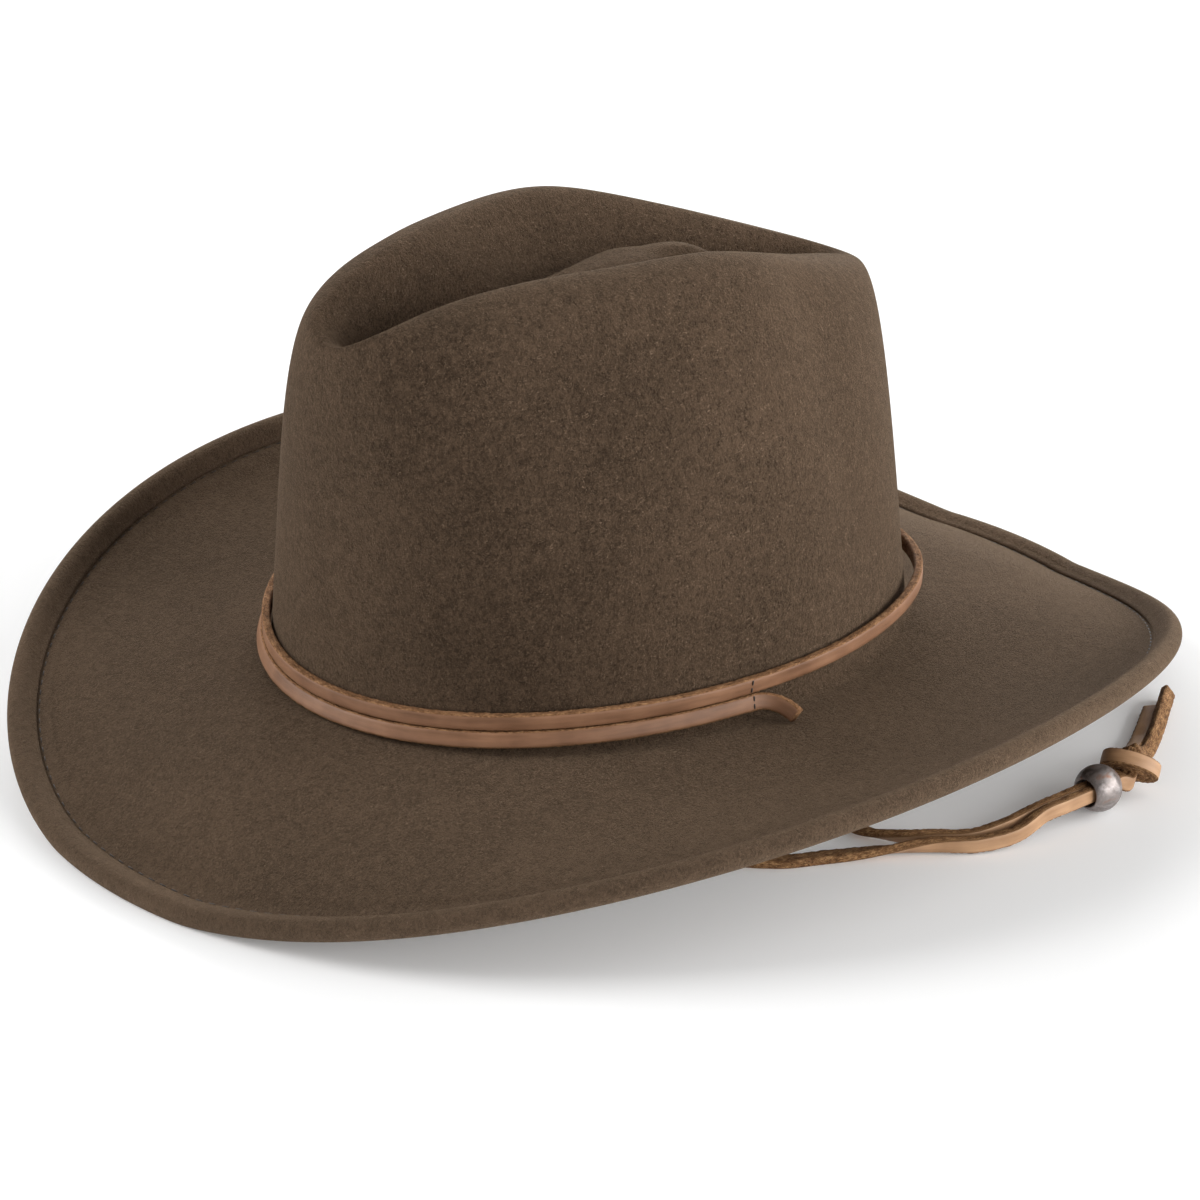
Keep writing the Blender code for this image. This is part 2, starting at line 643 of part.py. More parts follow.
clear_scene()
hat = bpy.data.collections.new("western_hat")
bpy.context.scene.collection.children.link(hat)

felt = material("brown_felt", FELT_BROWN, 0.95)
leather = material("sweatband_leather", (0.10, 0.055, 0.032), 0.5)
lace = material("band_lace", LACE_TAN, 0.6)
cord = material("chin_cord_lace", LACE_OLD, 0.65)
thread = material("dark_thread", DARK_THREAD, 0.7)
reed = material("reed_plastic", (0.08, 0.06, 0.05), 0.6)
steel = material("spring_steel", (0.55, 0.55, 0.56), 0.35, 1.0)
brass = material("splice_brass", (0.60, 0.45, 0.22), 0.35, 1.0)
ribbon = material("bow_ribbon", (0.05, 0.035, 0.028), 0.6)
label = material("label_cloth", (0.60, 0.56, 0.48), 0.8)
copper = material("antique_copper", (0.16, 0.10, 0.085), 0.45, 0.9)

make_felt_body(felt)
make_brim_wire(steel)
make_wire_splice(brass)
make_edge_stitching(thread)
make_sweatband(leather)
make_sweatband_reed(reed)
make_sweatband_stitching(thread)
make_sweatband_bow(ribbon)
make_size_label(label)
make_cord_tacks(thread)
make_hat_band_lace(lace)
make_band_stitches(thread)
make_chin_cord(cord)
make_knot(cord)
make_bead(copper)
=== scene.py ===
from math import pi, radians

import bmesh
import bpy
import numpy as np
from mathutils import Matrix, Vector


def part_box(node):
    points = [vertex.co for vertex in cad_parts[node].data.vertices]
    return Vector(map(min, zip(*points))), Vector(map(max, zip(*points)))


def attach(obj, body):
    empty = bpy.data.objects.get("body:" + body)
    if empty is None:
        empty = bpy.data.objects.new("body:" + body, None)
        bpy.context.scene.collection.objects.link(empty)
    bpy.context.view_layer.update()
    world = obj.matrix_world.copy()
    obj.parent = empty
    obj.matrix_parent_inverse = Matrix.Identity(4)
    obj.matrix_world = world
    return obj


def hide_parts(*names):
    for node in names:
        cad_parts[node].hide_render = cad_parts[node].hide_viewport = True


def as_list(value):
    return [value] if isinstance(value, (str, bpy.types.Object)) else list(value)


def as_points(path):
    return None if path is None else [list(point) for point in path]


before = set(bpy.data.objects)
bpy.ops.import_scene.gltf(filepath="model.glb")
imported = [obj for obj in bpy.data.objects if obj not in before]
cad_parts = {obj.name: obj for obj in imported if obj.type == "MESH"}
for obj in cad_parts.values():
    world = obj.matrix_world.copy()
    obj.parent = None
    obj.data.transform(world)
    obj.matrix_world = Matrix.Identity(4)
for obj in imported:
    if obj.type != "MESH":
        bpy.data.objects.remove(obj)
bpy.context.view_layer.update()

# Western felt hat: the looks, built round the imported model. Metres, +Z up, -Y is the
# front of the hat and +X the wearer's left. Angles round the hat start at the front.

# ---------------- sizes

FELT_HIGH = np.array(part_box("felt_body")[1])
BRIM_HALF_WIDTH = FELT_HIGH[0]
BRIM_HALF_LENGTH = FELT_HIGH[1]
CROWN_HALF_WIDTH = 0.086
CROWN_HALF_LENGTH = 0.1022
CROWN_SHIFT = -0.0032
BREAK_HEIGHT = 0.0315
BREAK_SADDLE = 0.0008
BREAK_RADIUS = 0.0035
SIDE_RISE = 0.0394
SHOULDER_RISE = 0.0100
BACK_RISE = 0.0072
FELT = 0.0024
LACE_WIDTH = 0.0048
LACE_THICK = 0.0025

RIDGE_FRONT = 0.100
RIDGE_BACK = 0.096
RIDGE_HALF_WIDTH = 0.0385
RIDGE_WIDEST = 0.0134
RIDGE_TAPER_FRONT = 0.1056
RIDGE_TAPER_BACK = 0.0668
RIDGE_BLUNT = 30
RIDGE_TOP = 0.1576
FRONT_FALL_FROM = -0.038
FRONT_FALL_RUN = 0.056
FRONT_FALL = 0.0074
BACK_SLOPE_FROM = 0.0112
BACK_SLOPE_EASE = 0.018
BACK_SLOPE = 0.374
MOUTH_DIP = 0.006
MOUTH_HALF_WIDTH = 0.013
DOME = np.array([0.0, 0.012, 0.144])
DOME_BREADTH = 1.6
CREASE_DEPTH = 0.020
CREASE_FRONT_EXTRA = 0.006
CREASE_BACK_LESS = 0.008
VALLEY_HIGHEST = 0.135

ROLL_RADIUS = 0.0034
CHANNEL_RADIUS = 0.0017
ROLL_FOLD = 0.0050
FOLD_EDGE_RADIUS = 0.0006      # the soft cut edge of the turned-over felt
FOLD_EDGE_AT = (0.0002 - ROLL_FOLD, -0.00088)
ROLL_SPACING = 0.00055
LAST_BRIM_ROW = 0.86
FOOT_DIP = 0.0010
FOOT_SPREAD = 0.03

SWEATBAND_HEIGHT = 0.032
SWEATBAND_THICK = 0.0012
SWEATBAND_GAP = 0.0005
REED_RADIUS = 0.001
CORD_ANGLE = radians(96.43)
CORD_BULGE = 0.0046
CORD_BULGE_SPREAD = radians(7)

BEAD_LOW, BEAD_HIGH = (np.array(corner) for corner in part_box("cord_bead"))
BEAD_AT = (BEAD_LOW + BEAD_HIGH) / 2
BEAD_RADIUS = (BEAD_HIGH[0] - BEAD_LOW[0]) / 2
BEAD_BORE = 0.0041
PAIR_HALF_GAP = 0.0015

CREASE_ROWS = 34
WALL_ROWS = 44
BRIM_ROWS = 34
BRIM_WEAR_AND_PAINTED_LIGHT = 0.45               # how much the brim is lightened next to its rolled edge: partly rubbed nap, partly painted light
HAND_SHAPING = 0.00028         # depth of the felt's unevenness
STEPS = 300                    # divisions of the felt round the hat
AROUND = np.arange(STEPS) * 2 * pi / STEPS

UP = np.array([0.0, 0.0, 1.0])
LEFT = np.array([1.0, 0.0, 0.0])    # the wearer's left


# ---------------- helpers

def unit(vectors):
    vectors = np.asarray(vectors, float)
    return vectors / np.linalg.norm(vectors, axis=-1, keepdims=True)


def ease(low, high, x):
    part = np.clip((x - low) / (high - low), 0, 1)
    return part * part * (3 - 2 * part)


def smooth_curve(points, spacing):
    """Evenly spaced points on a smooth curve through the given ones (Catmull-Rom)."""
    knots = np.array(points, float)
    ends = np.vstack([2 * knots[0] - knots[1], knots, 2 * knots[-1] - knots[-2]])
    fine = []
    for a, b, c, d in zip(ends[:-3], ends[1:-2], ends[2:-1], ends[3:]):
        for s in np.linspace(0, 1, 24, endpoint=False):
            fine.append(0.5 * (2 * b + (c - a) * s + (2 * a - 5 * b + 4 * c - d) * s**2
                               + (3 * b - a - 3 * c + d) * s**3))
    fine = np.array(fine + [knots[-1]])
    run = np.r_[0, np.cumsum(np.linalg.norm(np.diff(fine, axis=0), axis=1))]
    count = int(round(run[-1] / spacing)) + 1
    wanted = np.linspace(0, run[-1], count)
    return np.stack([np.interp(wanted, run, fine[:, k]) for k in range(fine.shape[1])], axis=1)


def new_object(name, data, body="hat"):
    made = bpy.data.objects.new(name, data)
    bpy.context.scene.collection.objects.link(made)
    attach(made, body)
    return made


def grid_mesh(name, rows, closed_along=False):
    """A closed mesh from rows of points that each go round. A row of one point is a pole."""
    mesh = bmesh.new()
    made = [[mesh.verts.new(point) for point in row] for row in rows]
    pairs = list(zip(made[:-1], made[1:]))
    if closed_along:
        pairs.append((made[-1], made[0]))
    for one, two in pairs:
        count = max(len(one), len(two))
        for i in range(count):
            j = (i + 1) % count
            corners = [one[i % len(one)], one[j % len(one)], two[j % len(two)], two[i % len(two)]]
            mesh.faces.new(dict.fromkeys(corners))
    if not closed_along:
        for row in (made[0], made[-1]):
            if len(row) > 2:
                mesh.faces.new(row)
    bmesh.ops.recalc_face_normals(mesh, faces=mesh.faces)
    data = bpy.data.meshes.new(name)
    mesh.to_mesh(data)
    mesh.free()
    data.shade_smooth()
    return data


def join(name, parts):
    """One object of the hat from several meshes that have the same materials."""
    mesh = bmesh.new()
    for part in parts:
        mesh.from_mesh(part)
    data = bpy.data.meshes.new(name)
    mesh.to_mesh(data)
    mesh.free()
    for finish in parts[0].materials:
        data.materials.append(finish)
    data.shade_smooth()
    return new_object(name, data)


# ---------------- materials

def grey(level):
    return (level, level, level)


class Nodes:
    """Short calls that build one material's node tree."""

    def __init__(self, name, roughness, **constants):
        self.material = bpy.data.materials.new(name)
        self.material.use_nodes = True
        self.tree = self.material.node_tree
        self.shader = self.tree.nodes["Principled BSDF"]
        self.shader.inputs["Roughness"].default_value = roughness
        for socket, value in constants.items():
            self.shader.inputs[socket.replace("_", " ")].default_value = value

    def put(self, kind, **inputs):
        node = self.tree.nodes.new(kind)
        for socket, value in inputs.items():
            self.join(node.inputs[socket.replace("_", " ")], value)
        return node

    def join(self, socket, value):
        if isinstance(value, bpy.types.NodeSocket):
            self.tree.links.new(value, socket)
        else:
            socket.default_value = value

    def place(self, stretch=(1, 1, 1), turn=(0, 0, 0), attribute=None):
        """The point on the object, or the named attribute, scaled."""
        if attribute:
            source = self.put("ShaderNodeAttribute")
            source.attribute_name = attribute
            spot = source.outputs["Vector"]
        else:
            spot = self.put("ShaderNodeTexCoord").outputs["Object"]
        return self.put("ShaderNodeMapping", Vector=spot, Scale=stretch, Rotation=turn).outputs["Vector"]

    def noise(self, spot, scale, detail=2.0, rough=0.5, distortion=0.0):
        return self.put("ShaderNodeTexNoise", Vector=spot, Scale=scale, Detail=detail,
                        Roughness=rough, Distortion=distortion).outputs["Fac"]

    def ramp(self, value, stops):
        node = self.put("ShaderNodeValToRGB", Fac=value)
        while len(node.color_ramp.elements) < len(stops):
            node.color_ramp.elements.new(0.5)
        for element, (position, colour) in zip(node.color_ramp.elements, stops):
            element.position = position
            element.color = (*colour, 1.0)
        return node.outputs["Color"]

    def mix(self, factor, one, two):
        node = self.tree.nodes.new("ShaderNodeMix")
        node.data_type = "RGBA"
        for socket, value in (("Factor_Float", factor), ("A_Color", one), ("B_Color", two)):
            target = next(s for s in node.inputs if s.identifier == socket)
            if isinstance(value, tuple):
                value = (*value, 1.0)
            self.join(target, value)
        return next(s for s in node.outputs if s.identifier == "Result_Color")

    def math(self, operation, one, two):
        node = self.tree.nodes.new("ShaderNodeMath")
        node.operation = operation
        self.join(node.inputs[0], one)
        self.join(node.inputs[1], two)
        return node.outputs["Value"]

    def bump(self, height, distance, strength):
        """Adds a relief of this depth, in metres, on top of those already there."""
        node = self.put("ShaderNodeBump", Height=height, Distance=distance, Strength=strength)
        if self.shader.inputs["Normal"].links:
            self.join(node.inputs["Normal"], self.shader.inputs["Normal"].links[0].from_socket)
        self.join(self.shader.inputs["Normal"], node.outputs["Normal"])

    def colour(self, value):
        self.join(self.shader.inputs["Base Color"], value)

    def roughness(self, value):
        self.join(self.shader.inputs["Roughness"], value)


def felt_material(name, dark, light, fleck):
    """Napped wool felt: matted fibres in every direction, with a few pale ones on top."""
    n = Nodes(name, 0.95, Sheen_Weight=0.28, Sheen_Roughness=0.5, Sheen_Tint=(0.85, 0.62, 0.42, 1.0),
              Specular_IOR_Level=0.05)
    cloud = n.noise(n.place(), 22, 3.0)
    patch = n.noise(n.place(), 330, 3.0, 0.6)
    fibre_one = n.noise(n.place((1, 0.35, 1), (0.3, 0.2, 0.5)), 2400, 3.0, 0.6, 1.2)
    fibre_two = n.noise(n.place((0.35, 1, 0.5), (0.9, 0.4, 1.3)), 2300, 3.0, 0.6, 1.2)
    fibres = n.math("MULTIPLY", n.math("ADD", fibre_one, fibre_two), 0.5)
    grain = n.noise(n.place((1, 1, 0.8), (0.2, 0.5, 0.1)), 1150, 4.0, 0.7, 0.8)
    tone = n.math("ADD", n.math("MULTIPLY", fibres, 0.30), n.math("MULTIPLY", grain, 0.40))
    tone = n.math("ADD", tone, n.math("MULTIPLY", patch, 0.18))
    tone = n.math("ADD", tone, n.math("MULTIPLY", cloud, 0.12))
    base = n.ramp(tone, [(0.435, dark), (0.565, light)])
    loose = n.noise(n.place((1, 0.25, 0.6), (1.1, 0.7, 0.2)), 2600, 2.0, 0.5, 2.0)
    flecks = n.ramp(loose, [(0.62, grey(0)), (0.69, grey(1))])
    nap = n.mix(n.math("MULTIPLY", flecks, 0.6), base, fleck)
    # Towards the rolled edge the colour is mixed towards the pale fleck colour: partly rubbed nap, partly
    # painted light on the edge.
    rim_wear_and_painted_light = n.put("ShaderNodeAttribute")
    rim_wear_and_painted_light.attribute_name = "rim_wear_and_painted_light"
    n.colour(n.mix(n.math("MULTIPLY", rim_wear_and_painted_light.outputs["Fac"], 0.13), nap, fleck))
    n.bump(patch, 0.0003, 0.5)
    n.bump(grain, 0.0010, 0.9)
    n.bump(fibres, 0.0006, 0.9)
    return n.material


def grain_leather(name, dark, light):
    """The smooth side of a lace: drawn-out tone, fine pores and shallow scuffs along its length."""
    n = Nodes(name, 0.5, Specular_IOR_Level=0.4)
    streak = n.noise(n.place((45, 420, 1), attribute="run"), 1.0, 4.0, 0.6)
    blotch = n.noise(n.place((90, 90, 1), attribute="run"), 1.0, 2.0)
    pores = n.noise(n.place(), 5200, 2.0, 0.6)
    tone = n.math("ADD", n.math("MULTIPLY", streak, 0.55), n.math("MULTIPLY", blotch, 0.45))
    base = n.ramp(tone, [(0.34, dark), (0.66, light)])
    n.colour(n.mix(n.math("MULTIPLY", pores, 0.18), base, tuple(0.5 * part for part in dark)))
    n.roughness(n.math("ADD", n.math("MULTIPLY", streak, 0.3), 0.35))
    n.bump(streak, 0.0001, 0.5)
    n.bump(pores, 0.00008, 0.6)
    return n.material


def raw_leather(name, dark, middle, light):
    """The cut edges and flesh side of a lace: loose fibres, dark in the gaps between them."""
    n = Nodes(name, 0.85, Specular_IOR_Level=0.2)
    fibre = n.noise(n.place((700, 2400, 1), attribute="run"), 1.0, 3.0, 0.65, 1.5)
    clump = n.noise(n.place((260, 500, 1), attribute="run"), 1.0, 2.0)
    tone = n.math("ADD", n.math("MULTIPLY", fibre, 0.7), n.math("MULTIPLY", clump, 0.3))
    n.colour(n.ramp(tone, [(0.36, dark), (0.5, middle), (0.64, light)]))
    n.bump(fibre, 0.0004, 0.9)
    return n.material


def sweatband_material():
    """Thin dark leather with a fine pebbled grain."""
    n = Nodes("sweatband_leather", 0.42, Specular_IOR_Level=0.45)
    grain = n.noise(n.place(), 1500, 3.0, 0.6)
    cells = n.put("ShaderNodeTexVoronoi", Vector=n.place(), Scale=900).outputs["Distance"]
    tone = n.noise(n.place(), 60, 3.0)
    n.colour(n.ramp(tone, [(0.3, (0.055, 0.030, 0.018)), (0.7, (0.10, 0.058, 0.034))]))
    n.roughness(n.math("ADD", n.math("MULTIPLY", grain, 0.25), 0.3))
    n.bump(cells, 0.00012, 0.6)
    n.bump(grain, 0.00006, 0.6)
    return n.material


def thread_material(name, dark, light):
    """Twisted thread: a fine slanting unevenness."""
    n = Nodes(name, 0.6, Sheen_Weight=0.2, Specular_IOR_Level=0.3)
    twist = n.noise(n.place(turn=(0.6, 0.6, 0.6)), 1400, 2.0, 0.5, 0.5)
    n.colour(n.ramp(twist, [(0.35, dark), (0.65, light)]))
    n.bump(twist, 0.0001, 0.8)
    return n.material


def ribbon_material():
    """Dark ribbon with ribs across it."""
    n = Nodes("bow_ribbon", 0.5, Sheen_Weight=0.3)
    ribs = n.put("ShaderNodeTexWave", Vector=n.place((1, 1, 0)), Scale=900, Distortion=0.2)
    n.colour(n.mix(ribs.outputs["Fac"], (0.028, 0.019, 0.015), (0.055, 0.038, 0.030)))
    n.bump(ribs.outputs["Fac"], 0.0001, 0.8)
    return n.material


def label_material():
    """Plain weave: two sets of threads at right angles, and no print."""
    n = Nodes("label_cloth", 0.8)
    over = n.put("ShaderNodeTexWave", Vector=n.place((1, 1, 0)), Scale=620, Distortion=0.4)
    up = n.put("ShaderNodeTexWave", Vector=n.place((0, 0, 1)), Scale=620, Distortion=0.4)
    up.bands_direction = "Z"
    weave = n.math("MULTIPLY", over.outputs["Fac"], up.outputs["Fac"])
    n.colour(n.mix(weave, (0.40, 0.36, 0.29), (0.62, 0.58, 0.50)))
    n.bump(weave, 0.0001, 0.8)
    return n.material


def antique_metal(name):
    """Darkened copper, rubbed brighter in patches, with red-brown left in the hollows."""
    n = Nodes(name, 0.42, Metallic=0.8)
    patch = n.noise(n.place(), 190, 4.0, 0.6, 0.6)
    fine = n.noise(n.place(), 1100, 3.0, 0.6)
    rub = n.noise(n.place((1, 0.4, 1)), 420, 4.0, 0.65)
    dark, middle, red = (0.17, 0.145, 0.138), (0.31, 0.275, 0.262), (0.33, 0.165, 0.105)
    base = n.ramp(patch, [(0.38, dark), (0.54, middle), (0.68, red)])
    n.colour(n.mix(n.ramp(rub, [(0.5, grey(0)), (0.75, grey(0.7))]), base, (0.52, 0.48, 0.47)))
    n.roughness(n.math("ADD", n.math("MULTIPLY", fine, 0.3), 0.30))
    n.bump(fine, 0.00012, 0.7)
    n.bump(rub, 0.0002, 0.5)
    return n.material


def plain_metal(name, colour, roughness):
    """Drawn metal, for the pieces inside the rolled edge."""
    n = Nodes(name, roughness, Metallic=1.0)
    drawn = n.noise(n.place((1, 1, 0.2)), 800, 2.0)
    n.colour(n.mix(drawn, tuple(0.8 * part for part in colour), colour))
    n.bump(drawn, 0.00005, 0.5)
    return n.material


# ---------------- shape of the felt

def oval(t, grow=0.0):
    """Plan outline of the crown at the break."""
    return np.stack([(CROWN_HALF_WIDTH + grow) * np.sin(t),
                     CROWN_SHIFT - (CROWN_HALF_LENGTH + grow) * np.cos(t)], axis=-1)


def oval_normal(t):
    return unit(np.stack([CROWN_HALF_LENGTH * np.sin(t), -CROWN_HALF_WIDTH * np.cos(t)], axis=-1))


def break_height(t):
    return BREAK_HEIGHT - BREAK_SADDLE * np.cos(2 * t)


def rim_height(t):
    """Height of the middle of the rolled edge: down at front and back, up at the sides."""
    front = np.cos(t)
    side = np.clip((np.sin(t)**2 - FOOT_SPREAD) / (1 - FOOT_SPREAD), 0, None)
    return ROLL_RADIUS - FOOT_DIP + side * (SIDE_RISE + SHOULDER_RISE * front**2 - BACK_RISE * front)


def ridge(t):
    """The crest round the crease, with its low mouth at the front."""
    front = np.cos(t)
    y = -np.where(front > 0, RIDGE_FRONT, RIDGE_BACK) * front
    taper = np.where(y < RIDGE_WIDEST, RIDGE_TAPER_FRONT, RIDGE_TAPER_BACK)
    width = RIDGE_HALF_WIDTH * np.exp(-((y - RIDGE_WIDEST) / taper)**2)
    x = np.sign(np.sin(t)) * width * np.sqrt(np.maximum(0, 1 - np.abs(front)**RIDGE_BLUNT))
    ahead = np.clip((FRONT_FALL_FROM - y) / FRONT_FALL_RUN, 0, None)
    behind = y - BACK_SLOPE_FROM + np.hypot(y - BACK_SLOPE_FROM, BACK_SLOPE_EASE)
    mouth = np.exp(-(x / MOUTH_HALF_WIDTH)**2) * ease(-0.06, -0.09, y)
    z = RIDGE_TOP - FRONT_FALL * ahead**2 - BACK_SLOPE * behind / 2 - MOUTH_DIP * mouth
    return np.stack([x, y, z], axis=-1)


def shoulder_power(t):
    """How square the turn from wall to ridge is: soft at the sides, squarer at the back."""
    front = np.cos(t)
    return 2.0 + 3.4 * ease(0.3, 1, -front) + 0.4 * ease(0.5, 0.95, front)


def wall(t, g):
    """A point on the outside of the crown: g is 0 at the break and 1 on the ridge."""
    top = ridge(t)
    foot = np.column_stack([oval(t), break_height(t) + BREAK_RADIUS])
    power = shoulder_power(t)
    lean = 0.22 + 0.18 * ease(0, 0.8, -np.cos(t))
    turn = lean * g + (1 - lean) * (1 - (1 - np.minimum(g, 1)**power)**(1 / power))
    point = foot.copy()
    point[:, :2] += (top[:, :2] - foot[:, :2]) * turn[:, None]
    point[:, 2] += (top[:, 2] - foot[:, 2]) * g
    return point


def wall_at(t, height):
    """The outside of the crown at a given height, in plan."""
    foot = break_height(t) + BREAK_RADIUS
    g = np.clip((height - foot) / (ridge(t)[:, 2] - foot), 0, 1)
    return wall(t, g)[:, :2]


def wall_row(t, share):
    """A row of the wall mesh; rows gather towards the ridge, where the felt turns."""
    return wall(t, np.sin(share * pi / 2)**(2 / shoulder_power(t)))


def tip_row(t, v):
    """A row of the crease: v is 0 at the middle of the dome and 1 on the ridge."""
    top = ridge(t)
    front = np.cos(t)
    point = DOME + (top - DOME) * v
    depth = CREASE_DEPTH + CREASE_FRONT_EXTRA * ease(0.3, 1, front) - CREASE_BACK_LESS * ease(0.2, 1, -front)
    valley = np.minimum(top[:, 2] - depth, VALLEY_HIGHEST)
    ditch = 0.52 + 0.24 * ease(0.5, 1, front) + 0.22 * ease(0.5, 1, -front)
    fall = 0.5 - 0.5 * np.cos(np.clip(v / ditch, 0, 1)**DOME_BREADTH * pi)
    climb = 0.5 - 0.5 * np.cos(np.clip((v - ditch) / (1 - ditch), 0, 1)**0.9 * pi)
    inner = DOME[2] + (valley - DOME[2]) * fall
    outer = valley + (top[:, 2] - valley) * climb
    point[:, 2] = np.where(v < ditch, inner, outer)
    return point


def break_row(t, angle):
    out = BREAK_RADIUS * (1 - np.cos(angle))
    down = BREAK_RADIUS * (1 - np.sin(angle))
    return np.column_stack([oval(t, out), break_height(t) + down])


def roll_middle(t):
    """The line that the brim wire follows, inside the rolled edge."""
    return np.stack([(BRIM_HALF_WIDTH - ROLL_RADIUS) * np.sin(t),
                     -(BRIM_HALF_LENGTH - ROLL_RADIUS) * np.cos(t),
                     rim_height(t)], axis=-1)


def brim_row(t, s):
    """A row of the brim's top: s is 0 at the break and 1 under the wire."""
    inner = np.column_stack([oval(t, BREAK_RADIUS), break_height(t)])
    outer = roll_middle(t)
    outer[:, 2] -= CHANNEL_RADIUS
    side = np.sin(t)**2
    width = BRIM_HALF_WIDTH - CROWN_HALF_WIDTH
    start = -(0.20 - 0.10 * side) * width
    rise = outer[:, 2] - inner[:, 2]
    point = inner + (outer - inner) * s
    point[:, 2] = inner[:, 2] + start * s + (rise - start) * s**(2 + 0.8 * side)
    return point


def row_normals(rows):
    """Outward directions of a grid of rows that runs from the dome to the brim."""
    grid = np.array(rows)
    round_hat = np.roll(grid, -1, axis=1) - np.roll(grid, 1, axis=1)
    return unit(np.cross(np.gradient(grid, axis=0), round_hat))


def arc(radius, degrees, middle=(0.0, 0.0)):
    return [(middle[0] + radius * np.cos(a), middle[1] + radius * np.sin(a)) for a in np.radians(degrees)]


def roll_section():
    """The rolled edge's outline as (outwards, upwards) from the wire: along the brim's
    top, round the channel, back along the fold, round its soft edge and over the outside."""
    points = [(-0.0086, -CHANNEL_RADIUS), (-0.0050, -CHANNEL_RADIUS), (-CHANNEL_RADIUS, -CHANNEL_RADIUS)]
    points += arc(CHANNEL_RADIUS, [-60, -20, 20, 60])
    points += [(-0.0002, CHANNEL_RADIUS), (-0.0024, 0.0001)]
    points += arc(FOLD_EDGE_RADIUS, [265, 225, 180, 135], FOLD_EDGE_AT)
    points += [(-0.0042, 0.00040), (-0.0031, 0.00170), (-0.0018, 0.00280)]
    points += arc(ROLL_RADIUS, np.arange(95, -96, -19))
    return smooth_curve(points, ROLL_SPACING)


def roll_frame(t):
    """Middle of the roll, with its outward direction along the brim and its upward one."""
    middle = roll_middle(t)
    out = middle - brim_row(t, LAST_BRIM_ROW)
    out[:, 2] -= CHANNEL_RADIUS
    out = unit(out)
    along = roll_middle(t + 0.01) - roll_middle(t - 0.01)
    return middle, out, unit(np.cross(out, along))


def roll_rows(t):
    """Rows round the rolled edge, pressed flat where the hat stands on it."""
    middle, out, up = roll_frame(t)
    rows = []
    for a, b in roll_section():
        row = middle + a * out + b * up
        row[:, 2] = np.maximum(row[:, 2], 0)
        rows.append(row)
    return rows


def hand_shaping(row):
    """The slight unevenness that blocking and handling leave, up to half a millimetre."""
    x, y, z = row.T
    broad = np.sin(31 * x + 17 * y + 1.3) * np.sin(23 * y - 41 * z + 0.4)
    return HAND_SHAPING * (broad + 0.6 * np.sin(67 * x - 53 * y + 38 * z))


def make_felt(finish):
    """Crown and brim: one piece of felt, with its edge rolled over the brim wire."""
    t = AROUND
    top = [tip_row(t, v) for v in np.linspace(0.04, 0.985, CREASE_ROWS)]
    top += [wall_row(t, share) for share in np.linspace(1, 0, WALL_ROWS)]
    top += [break_row(t, radians(angle)) for angle in (20, 45, 68)]
    top += [brim_row(t, s) for s in np.linspace(0, LAST_BRIM_ROW, BRIM_ROWS)]
    normals = row_normals(top)
    top = [row + normal * hand_shaping(row)[:, None] for row, normal in zip(top, normals)]
    under = [row - FELT * normal for row, normal in zip(top, normals)]
    for row in under:
        row[:, 2] = np.maximum(row[:, 2], 0)
    roll = roll_rows(t)
    rings = [[DOME], *top, *roll, *reversed(under), [DOME - FELT * UP]]
    piece = new_object("felt", grid_mesh("felt", rings))
    # Lightening per row: it grows across the brim towards the rolled edge and is full on the roll, partly
    # rubbed nap and partly painted light.
    shares = np.r_[np.zeros(len(top) - BRIM_ROWS), np.linspace(0, 1, BRIM_ROWS)]
    rubbed = BRIM_WEAR_AND_PAINTED_LIGHT * ease(0.1, 1, shares)
    by_row = np.r_[rubbed, np.ones(len(roll)), rubbed[::-1]]
    rim_wear_and_painted_light = np.r_[0, np.repeat(by_row, STEPS), 0].astype(np.float32)
    piece.data.attributes.new("rim_wear_and_painted_light", "FLOAT", "POINT").data.foreach_set("value", rim_wear_and_painted_light)
    piece.data.materials.append(finish)
    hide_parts("felt_body")
    return piece


# ---------------- laces

EDGE_ROUNDING = 0.0004
FLOOR_GAP = 0.0002             # room for a lace's rough edges over what the hat stands on
GRAIN_CROWN = 0.0001           # how far the grain side bulges in its middle
SIDE_POINTS = 6                # points across the grain side, and across the flesh side
EDGE_POINTS = 5
RAGGED = 0.045                 # how far a raw side's fibres stand out, as a share of its size
GRAIN_RAGGED = 0.12            # the grain side's unevenness, as a share of a raw side's


def lace_section(width, thick):
    """Points round a lace's rounded cross-section, the grain side first."""
    half_w, half_t = width / 2, thick / 2
    flat_w, flat_t = half_w - EDGE_ROUNDING, half_t - EDGE_ROUNDING
    over, down = np.linspace(-1, 1, SIDE_POINTS), np.linspace(1, -1, EDGE_POINTS)
    grain = [(a * flat_w, half_t + GRAIN_CROWN * (1 - a * a)) for a in over]
    right = [(half_w, b * flat_t) for b in down]
    flesh = [(a * flat_w, -half_t) for a in over[::-1]]
    left = [(-half_w, b * flat_t) for b in down[::-1]]
    return np.array(grain + right + flesh + left)


def lace_frame(points, facing, closed=False):
    """At each point of a lace's middle line, the way its face looks and the way across it."""
    if closed:
        along = unit(np.roll(points, -1, axis=0) - np.roll(points, 1, axis=0))
    else:
        along = unit(np.gradient(points, axis=0))
    facing = np.broadcast_to(facing, points.shape)
    face = unit(facing - (facing * along).sum(axis=1, keepdims=True) * along)
    return face, np.cross(along, face)


def rest_on_floor(points, facing):
    """The same line, raised where a lace along it would sink into what the hat stands on."""
    face, across = lace_frame(points, facing)
    half_height = (LACE_WIDTH * np.abs(across[:, 2]) + LACE_THICK * np.abs(face[:, 2])) / 2
    raised = points.copy()
    raised[:, 2] = np.maximum(raised[:, 2], half_height + FLOOR_GAP)
    return raised


